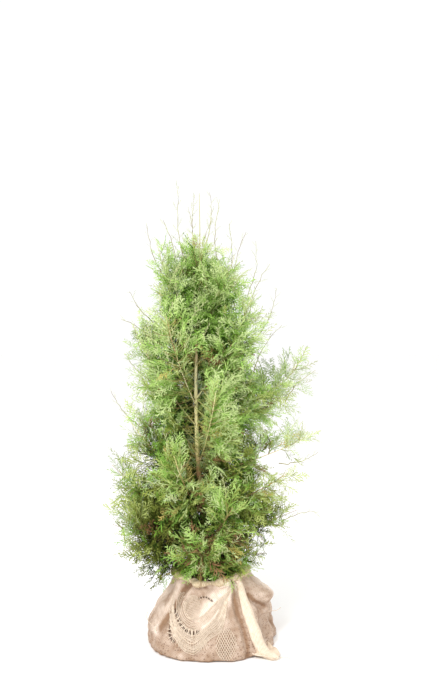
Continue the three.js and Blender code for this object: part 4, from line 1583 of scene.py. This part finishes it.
print("the roll is up to", round(widths.max() / MM), "mm wide")

# %% [markdown]
# The hem follows the sack's own rim: its radius, its sag between the gathers and its folds
# are asked of the same functions, so it lies on the rim all round. Its strands wind round it
# quickly, like a rope's, and its thickness swells and thins.

# %% The hem round the rim
HEM_STEPS, HEM_SIDES, HEM_THICK, HEM_SET_IN = 420, 14, 0.018, 0.004
hem_turn = np.linspace(0, 2 * math.pi, HEM_STEPS, endpoint=False)
hem_radius = sack_radius(hem_turn, np.ones(HEM_STEPS))
hem_z = rim_height(hem_turn)
hem_radius = hem_radius + fold_depth(hem_turn, hem_z, hem_radius) - HEM_SET_IN
hem_line = np.stack([hem_radius * np.cos(hem_turn), hem_radius * np.sin(hem_turn), hem_z - 0.001], axis=1)
hem_out = unit(hem_line * (1, 1, 0)) * 0.5 + np.array([0, 0, 1.0])
thick = HEM_THICK * (1 + 0.22 * ripples(roll_rng, 0.05, hem_line[:, 0], hem_line[:, 1]))
hem_line[:, 2] += 0.0016 * ripples(roll_rng, 0.06, hem_line[:, 0], hem_line[:, 1])
hem_wall = roll(
    hem_line, hem_out, thick, thick * 0.5, HEM_SIDES, strands=3, twist=120, lump=0.03, rng=roll_rng
)
hem_faces = ring_faces(HEM_STEPS, HEM_SIDES, closed=True)
hem = object_from_arrays("burlap_hem", hem_wall.reshape(-1, 3), hem_faces, [], smooth=True)
print("the hem has", len(hem.data.polygons), "faces")

# %% [markdown]
# The loose corner is the tip of the square of cloth. It lies on the ground in front, where
# the roll ends: a grid that narrows to a point, whose edge turns up, with a real thickness
# from a Solidify modifier.

# %% The loose corner
CORNER = {"turn": -46, "from": 0.165, "reach": 0.268, "half_width": 0.040}
CLOTH_THICK = 2.5 * MM
bpy.ops.mesh.primitive_grid_add(x_subdivisions=48, y_subdivisions=60, size=1)
corner = bpy.context.object
corner.name = "burlap_corner_cloth"
flat = np.empty(3 * len(corner.data.vertices))
corner.data.vertices.foreach_get("co", flat)
u, v = flat.reshape(-1, 3)[:, 0] * 2, flat.reshape(-1, 3)[:, 1] + 0.5
middle = math.radians(CORNER["turn"])
go, cross = np.array([math.cos(middle), math.sin(middle)]), np.array([-math.sin(middle), math.cos(middle)])
narrow = CORNER["half_width"] * (1 - v**2.2) ** 0.6 + 0.004
run = CORNER["from"] + (CORNER["reach"] - CORNER["from"]) * v
plane = go * run[:, None] + cross * (u * narrow)[:, None]
edge = np.maximum(np.abs(u), v)
lumps = 0.0022 * ripples(roll_rng, 0.045, plane[:, 0], plane[:, 1])
height = 0.0045 + lumps + 0.009 * edge**8 * np.clip(1.4 - v, 0, 1) + 0.010 * (1 - v) ** 2
corner.data.vertices.foreach_set("co", np.column_stack([plane, np.maximum(height, 0.003)]).ravel())
solid = corner.modifiers.new("cloth thickness", "SOLIDIFY")
solid.thickness = CLOTH_THICK
solid.offset = -1
bpy.ops.object.modifier_apply(modifier=solid.name)
bpy.ops.object.shade_smooth()
print("the corner has", len(corner.data.polygons), "faces")

# %% [markdown]
# Burlap frays wherever it is cut: a few long threads stand off the sack, and many short ones
# stick out of the hem. They are tubes like the pulled threads, and all are one piece.

# %% Loose threads
FRAYED_ENDS = 36
LOOSE_THREADS = [
    [(-0.160, -0.085, 0.060), (-0.176, -0.092, 0.066), (-0.188, -0.090, 0.086), (-0.185, -0.085, 0.098)],
    [(0.166, -0.060, 0.090), (0.178, -0.070, 0.096), (0.190, -0.075, 0.099), (0.203, -0.070, 0.106)],
    [(0.176, -0.176, 0.010), (0.196, -0.184, 0.006), (0.212, -0.180, 0.004), (0.222, -0.190, 0.003)],
]
loose = [(smooth_line(np.array(path), 24), 0.0009) for path in LOOSE_THREADS]
for _ in range(FRAYED_ENDS):
    at = roll_rng.uniform(0, 2 * math.pi)
    foot = hem_line[int(at / (2 * math.pi) * HEM_STEPS)] + (0, 0, 0.004)
    go = unit([math.cos(at), math.sin(at), roll_rng.uniform(-0.6, 1.4)])
    go = go * roll_rng.uniform(0.008, 0.02)
    bend = roll_rng.normal(0, 0.004, 3)
    end = np.array([foot, foot + go * 0.4 + bend, foot + go * 0.8 + bend * 0.3, foot + go])
    loose.append((end, 0.0005))
thread_points, thread_triangles = tubes([(line, r, r * 0.9) for line, r in threads + loose], 5)
thread_piece = object_from_arrays(
    "burlap_threads", thread_points, thread_triangles, [], smooth=True
)
print("threads:", len(thread_triangles), "triangles")

# %% [markdown]
# ## Cloth and soil materials
#
# Jute burlap is a loose plain weave of flat, uneven yarns four to five millimetres apart,
# cream where clean and brown where wet soil has come through. Two sets of bands at that pitch
# cross each other for the weave, and finer noise makes the yarns uneven. The cloth runs on
# the bias, at 38 degrees to the ground, as the corners of a square sheet are drawn up.

# %% The weave of burlap
WEAVE_PITCH = 4.6 * MM
# A wave texture makes one band in every 20 / (2 pi) of a unit.
WAVE_SCALE = 2 * math.pi / 20
BIAS = math.radians(38)
SLUBS_A_METRE = 110.0
RELIEF = 1.2 * MM


def weave_colours(tree, coordinate, light, deep, contrast):
    """The colour and the height of a plain weave."""
    bands = []
    scale = WAVE_SCALE / WEAVE_PITCH
    for direction in ("X", "Y"):
        wave = {"Vector": coordinate, "Scale": scale, "Distortion": 1.2, "Detail": 1.0}
        band = add_node(tree, "ShaderNodeTexWave", {"bands_direction": direction}, wave)
        bands.append(band.outputs["Fac"])
    weave = add_node(tree, "ShaderNodeMath", {"operation": "MAXIMUM"}, {0: bands[0], 1: bands[1]})
    grain = {"Vector": coordinate, "Scale": SLUBS_A_METRE, "Detail": 4.0, "Roughness": 0.65}
    slub = add_node(tree, "ShaderNodeTexNoise", inputs=grain)
    terms = {0: weave.outputs[0], 1: contrast, 2: slub.outputs["Fac"]}
    mixed = add_node(tree, "ShaderNodeMath", {"operation": "MULTIPLY_ADD"}, terms)
    span = {"Value": mixed.outputs[0], "From Min": 0.45, "From Max": 0.70 + contrast * 0.8}
    level = add_node(tree, "ShaderNodeMapRange", inputs=span)
    tones = {"Factor": level.outputs[0], "A": linear(deep), "B": linear(light)}
    ramp = add_node(tree, "ShaderNodeMix", {"data_type": "RGBA"}, tones)
    return ramp.outputs["Result"], weave.outputs[0]


def burlap_finish(name, light, deep, contrast, source="Object"):
    """Burlap of one tone, with its weave in bump and colour."""
    material, tree, shader = new_material(name, 0.95, 1.5)
    place = add_node(tree, "ShaderNodeTexCoord").outputs[source]
    turned = {"Vector": place, "Rotation": (0, 0, BIAS)}
    coordinate = add_node(tree, "ShaderNodeMapping", inputs=turned).outputs["Vector"]
    colour, height = weave_colours(tree, coordinate, light, deep, contrast)
    pressed = {"Height": height, "Strength": 0.6, "Distance": RELIEF}
    bump = add_node(tree, "ShaderNodeBump", inputs=pressed)
    tree.links.new(colour, shader.inputs["Base Color"])
    tree.links.new(bump.outputs["Normal"], shader.inputs["Normal"])
    return material, tree, shader, colour


# %% [markdown]
# The sack's cloth gives the eye warm cream, dry and without any shine. Over it go four
# layers, each painted from a mask kept on the vertices: the brown stain, which also carries
# painted shade in the folds' hollows and creases and painted highlights on their crests, small
# dark dots where the yarns stand apart, the holes of the net and the soil behind the open places.

# %% Burlap of the sack
CREAM, SHADE, STAIN_AND_SHADE, SOIL, DOT = "#EEDFD2", "#CDB49C", "#8F7158", "#4A3324", "#674A36"
DOT_PITCH = 6.4 * MM
sack_finish, tree, shader, colour = burlap_finish(
    "jute burlap, woven and soil-stained", CREAM, SHADE, 0.7, "UV"
)
weave_place = add_node(tree, "ShaderNodeTexCoord").outputs["UV"]
dots = add_node(
    tree,
    "ShaderNodeTexVoronoi",
    inputs={"Vector": weave_place, "Scale": 1 / DOT_PITCH, "Randomness": 0.6},
)
dot = add_node(
    tree,
    "ShaderNodeMapRange",
    inputs={"Value": dots.outputs["Distance"], "From Min": 0.42, "From Max": 0.22},
)
# The net's holes: the places that lie far from its threads in both of their directions.
front_place = add_node(tree, "ShaderNodeTexCoord").outputs["Object"]
gaps = []
for slant in (NET["slant"], 180 - NET["slant"]):
    across = (-math.sin(math.radians(slant)), 0.0, math.cos(math.radians(slant)))
    offset = across[0] * NET["x"] + across[2] * NET["z"]
    pair = {0: front_place, 1: across}
    along = add_node(tree, "ShaderNodeVectorMath", {"operation": "DOT_PRODUCT"}, pair)
    shift = {0: along.outputs["Value"], 1: offset}
    moved = add_node(tree, "ShaderNodeMath", {"operation": "SUBTRACT"}, shift)
    fold = {0: moved.outputs[0], 1: NET["pitch"] / 2}
    gaps.append(add_node(tree, "ShaderNodeMath", {"operation": "PINGPONG"}, fold).outputs[0])
between = add_node(tree, "ShaderNodeMath", {"operation": "MINIMUM"}, {0: gaps[0], 1: gaps[1]})
hole = add_node(
    tree,
    "ShaderNodeMapRange",
    inputs={"Value": between.outputs[0], "From Min": 0.0007, "From Max": 0.0019},
)
patterns = {"loose_weave": dot.outputs[0], "net_holes": hole.outputs[0]}
# The stain layer also lays painted shade into the folds, and leaves painted highlights where it is thin.
for mask, code in (("stain", STAIN_AND_SHADE), ("loose_weave", DOT), ("net_holes", DOT), ("open", SOIL)):
    amount = add_node(tree, "ShaderNodeAttribute", {"attribute_name": mask}).outputs["Fac"]
    if mask in patterns:
        both = {0: amount, 1: patterns[mask]}
        amount = add_node(tree, "ShaderNodeMath", {"operation": "MULTIPLY"}, both).outputs[0]
    layers = {"Factor": amount, "A": colour, "B": linear(code)}
    colour = add_node(tree, "ShaderNodeMix", {"data_type": "RGBA"}, layers).outputs["Result"]
tree.links.new(colour, shader.inputs["Base Color"])
print("the sack's material has", len(tree.nodes), "nodes")

# %% [markdown]
# The same burlap looks softer where it is bunched, because the yarns are pressed together and
# their gaps closed. The hem is painted duller and browner: painted shade for the shade of the crown.
# Single threads are as pale as the cleanest cloth, so that they stand out on it.

# %% Burlap of the rolls, the hem and the threads
roll_finish, _, _, _ = burlap_finish("jute burlap, bunched", "#E6D7C4", "#D3BEA6", 0.25)
# The hem's darker tones are painted shade, for the shade of the crown over the rim.
hem_finish, _, _, _ = burlap_finish(
    "jute burlap, rolled hem, painted shade", "#D2C1A4", "#A88F6E", 0.4
)
yarn_finish, _, _, _ = burlap_finish("jute yarn", "#E6D7C5", "#C9B49C", 0.3)
sack.data.materials.append(sack_finish)
roll_piece.data.materials.append(roll_finish)
corner.data.materials.append(roll_finish)
hem.data.materials.append(hem_finish)
thread_piece.data.materials.append(yarn_finish)
print("burlap on", [piece.name for piece in (sack, roll_piece, corner, hem, thread_piece)])

# %% [markdown]
# Soil comes through the cloth under the open weave. The same mask also holds painted shade
# and painted light: it deepens in the hollows, in three creases and along the foot, where shade
# falls, and pales on the ridges and on the cone that is pulled taut, where light falls. So most
# of it is worked out from the folds themselves, with a few places of its own, and uneven
# blotches of stain over all of it. Every mask is a number on each vertex.

# %% Where the cloth is stained, painted with shade or open
# A panel on the right, and three creases that lie in deep shade, which is painted into them.
PANEL = [(0.118, 0.125), (0.145, 0.070), (0.166, 0.025)]
RIGHT_CREASE = [(0.104, 0.148), (0.1235, 0.130)]
GATHER_CREASE = [(0.060, 0.198), (0.064, 0.170)]
LEFT_CREASE = [(-0.098, 0.186), (-0.066, 0.176)]
places = np.empty(3 * len(sack.data.vertices))
sack.data.vertices.foreach_get("co", places)
x, y, z = places.reshape(-1, 3).T
front = np.clip((-y - 0.01) / 0.04, 0, 1)
from_bows = np.hypot(x - BOWS["x"], z - BOWS["z"])
bow_turn = np.degrees(np.arctan2(z - BOWS["z"], x - BOWS["x"])) % 360
blotch = ripples(np.random.default_rng(SEED + 8), 0.05, x, y, z)


def beside(line, width, edge=2):
    """1 on a line of the front, fading to 0 past the width, the sharper the higher the edge."""
    return np.exp(-((distance_to_line(x, z, line) / width) ** edge)) * front


panel = beside(PANEL, 0.024, edge=4)
veil = np.exp(-((np.hypot(x - VEIL["x"], z - VEIL["z"]) / VEIL["half_z"]) ** 3))
veil = veil * front * (1 + 0.3 * blotch)
net = np.hypot((x - NET["x"]) / NET["half_x"], (z - NET["z"]) / NET["half_z"])
net = np.exp(-(net**6)) * front
# Along the foot, where the sack meets the floor, a painted contact shadow.
foot_shadow = np.exp(-((z / 0.007) ** 2))
bow_field = np.exp(-(((from_bows - 0.065) / 0.055) ** 6))
bow_field = bow_field * np.exp(-(((bow_turn - 228) / 50) ** 4)) * front
# The taut cone: a painted highlight in the stain mask, and closed weave with fewer dots.
taut_cone_closed_and_lit = beside(TAUT_CONE, 0.028, edge=4)
# The left ridge gets a painted highlight and the valley beside it painted shade.
ridge, valley = beside(LEFT_RIDGE, 0.015), beside(LEFT_VALLEY, 0.008)
# Painted shade in the three creases.
crease_shade = beside(RIGHT_CREASE, 0.0045) + beside(GATHER_CREASE, 0.0045)
crease_shade = crease_shade + 0.6 * beside(LEFT_CREASE, 0.004)

# %% [markdown]
# The masks are weighed against each other: a base of stain, painted shade in hollows, creases
# and along the foot, painted highlights on ridges and the taut cone, and lines of bare soil
# along the ladders.

# %% The masks on the sack
around = np.arctan2(y, x)
standing_out = fold_depth(around, z, np.hypot(x, y))
# Round the back and sides the folds' own depth paints light on what stands out and shade in what sinks in,
# and the back is a little paler as a whole.
stain = 0.67 - (1 - front) * (0.12 + 30 * standing_out)
stain = stain - 0.12 * panel + 0.05 * veil + 0.10 * net + 0.4 * foot_shadow + 0.06 * bow_field
stain = stain + 0.08 * np.clip((-0.08 - x) / 0.04, 0, 1) * front
stain = stain - 0.56 * taut_cone_closed_and_lit - 0.32 * ridge + 0.34 * valley + 0.4 * crease_shade
loose_weave = 0.30 + 0.45 * np.clip(1 - z / 0.11, 0, 1) - 0.60 * net + 0.15 * panel - 0.40 * taut_cone_closed_and_lit
loose_weave = loose_weave - 0.3 * ridge
blotch = blotch + 0.6 * ripples(np.random.default_rng(SEED + 10), 0.017, x, y, z)
stain = stain + 0.08 * blotch
# How strongly each front fold paints shade into its hollow and a highlight onto its crest.
HOLLOW_SHADE, RIDGE_HIGHLIGHT = 36, 14
for line, width, rise in FRONT_FOLDS:
    weight = HOLLOW_SHADE if rise < 0 else RIDGE_HIGHLIGHT
    stain = stain - weight * rise * beside(line, 0.8 * width)
open_cloth = np.zeros(len(x))
for path, _, half in LADDERS:
    row = [(p[0], p[2]) for p in smooth_line(np.array([(px, 0.0, pz) for px, pz in path]), 40)]
    open_cloth = np.maximum(open_cloth, beside(row, half, edge=6))
masks = {"stain": stain, "open": open_cloth, "loose_weave": loose_weave, "net_holes": 0.72 * net}
for name, values in masks.items():
    attribute = sack.data.attributes.new(name, "FLOAT", "POINT")
    attribute.data.foreach_set("value", np.clip(values, 0, 1).astype(np.float32))
    print(name, "is", round(float(np.clip(values, 0, 1).mean()), 3), "on the average")

# %% [markdown]
# The soil fills the sack and is a smooth ball where the cloth hides it. Only its top is seen,
# under the crown: crumbs and clods of three sizes, and a slight rise towards the stem. It is
# wound from the same grid as the sack, just inside it, so that they never cross.

# %% The soil
SOIL_LEVEL = corner_points("root_ball")[:, 2].max()
SOIL_GAP = 8 * MM
SOIL_FOOT_ROWS, SOIL_WALL_ROWS, SOIL_TOP_ROWS = 6, 40, 34
# For each size of clod: how high and how far apart.
CLODS = ((0.0015, 0.03), (0.0010, 0.011), (0.0007, 0.006))


def soil_shape(turn, row):
    """The ball of soil inside the cloth, with a crumbly top that rises a little to the stem."""
    share = np.clip((row - SOIL_FOOT_ROWS) / SOIL_WALL_ROWS, 0, 1)
    under = np.clip(1 - row / SOIL_FOOT_ROWS, 0, 1)
    over = np.clip((row - SOIL_FOOT_ROWS - SOIL_WALL_ROWS) / SOIL_TOP_ROWS, 0, 1)
    z = 0.003 + share * (SOIL_LEVEL - 0.004)
    radius = sack_radius(turn, share)
    radius = (radius + fold_depth(turn, z, radius) - SOIL_GAP) * (1 - under) * (1 - over)
    x, y = radius * np.cos(turn), radius * np.sin(turn)
    rng = np.random.default_rng(SEED + 9)
    lumps = sum(high * ripples(rng, wide, x, y) for high, wide in CLODS)
    return np.stack([x, y, z + (over > 0) * (lumps + 0.003 * over)], axis=1)


SOIL_ROWS = SOIL_FOOT_ROWS + SOIL_WALL_ROWS + SOIL_TOP_ROWS
soil = wound("soil", 180, SOIL_ROWS, soil_shape, (SACK_GIRTH, 0.4))
print("the top of the soil is at", round(float(SOIL_LEVEL), 3), "m")

# %% [markdown]
# Moist garden soil gives the eye a deep, dull brown that is never one tone: fine noise runs
# from dark humus to paler grains, and a cell pattern of about eight millimetres lifts clods.

# %% Garden soil
CRUMBS_A_METRE, CLODS_A_METRE = 220.0, 120.0
HUMUS, GRAIN = "#2B1D13", "#6B4E37"
soil_finish, tree, shader = new_material("garden soil, crumbly and moist", 0.95, 1.45)
coordinate = add_node(tree, "ShaderNodeTexCoord").outputs["Object"]
crumb = {"Vector": coordinate, "Scale": CRUMBS_A_METRE, "Detail": 5.0}
crumbs = add_node(tree, "ShaderNodeTexNoise", inputs=crumb)
cells = {"Vector": coordinate, "Scale": CLODS_A_METRE}
clods = add_node(tree, "ShaderNodeTexVoronoi", inputs=cells)
tones = {"Factor": crumbs.outputs["Fac"], "A": linear(HUMUS), "B": linear(GRAIN)}
earth = add_node(tree, "ShaderNodeMix", {"data_type": "RGBA"}, tones)
pressed = {"Height": clods.outputs["Distance"], "Strength": 0.8, "Distance": 2 * MM}
bump = add_node(tree, "ShaderNodeBump", inputs=pressed)
tree.links.new(earth.outputs["Result"], shader.inputs["Base Color"])
tree.links.new(bump.outputs["Normal"], shader.inputs["Normal"])
soil.data.materials.append(soil_finish)

# %% [markdown]
# Each piece takes the place of the plain solids that it shows in full: the sack of the wrap
# and its left fold, the roll of the right fold. Hem and threads belong to the cloth as well
# and only add to it.

# %% The sack's pieces join the model
for piece in (sack, roll_piece, hem, corner, thread_piece):
    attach(piece, "root")
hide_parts("burlap_wrap", "burlap_fold_left")
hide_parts("burlap_fold_right")
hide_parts("burlap_corner")
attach(soil, "root")
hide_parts("root_ball")
print("the cloth and the soil have joined the model")
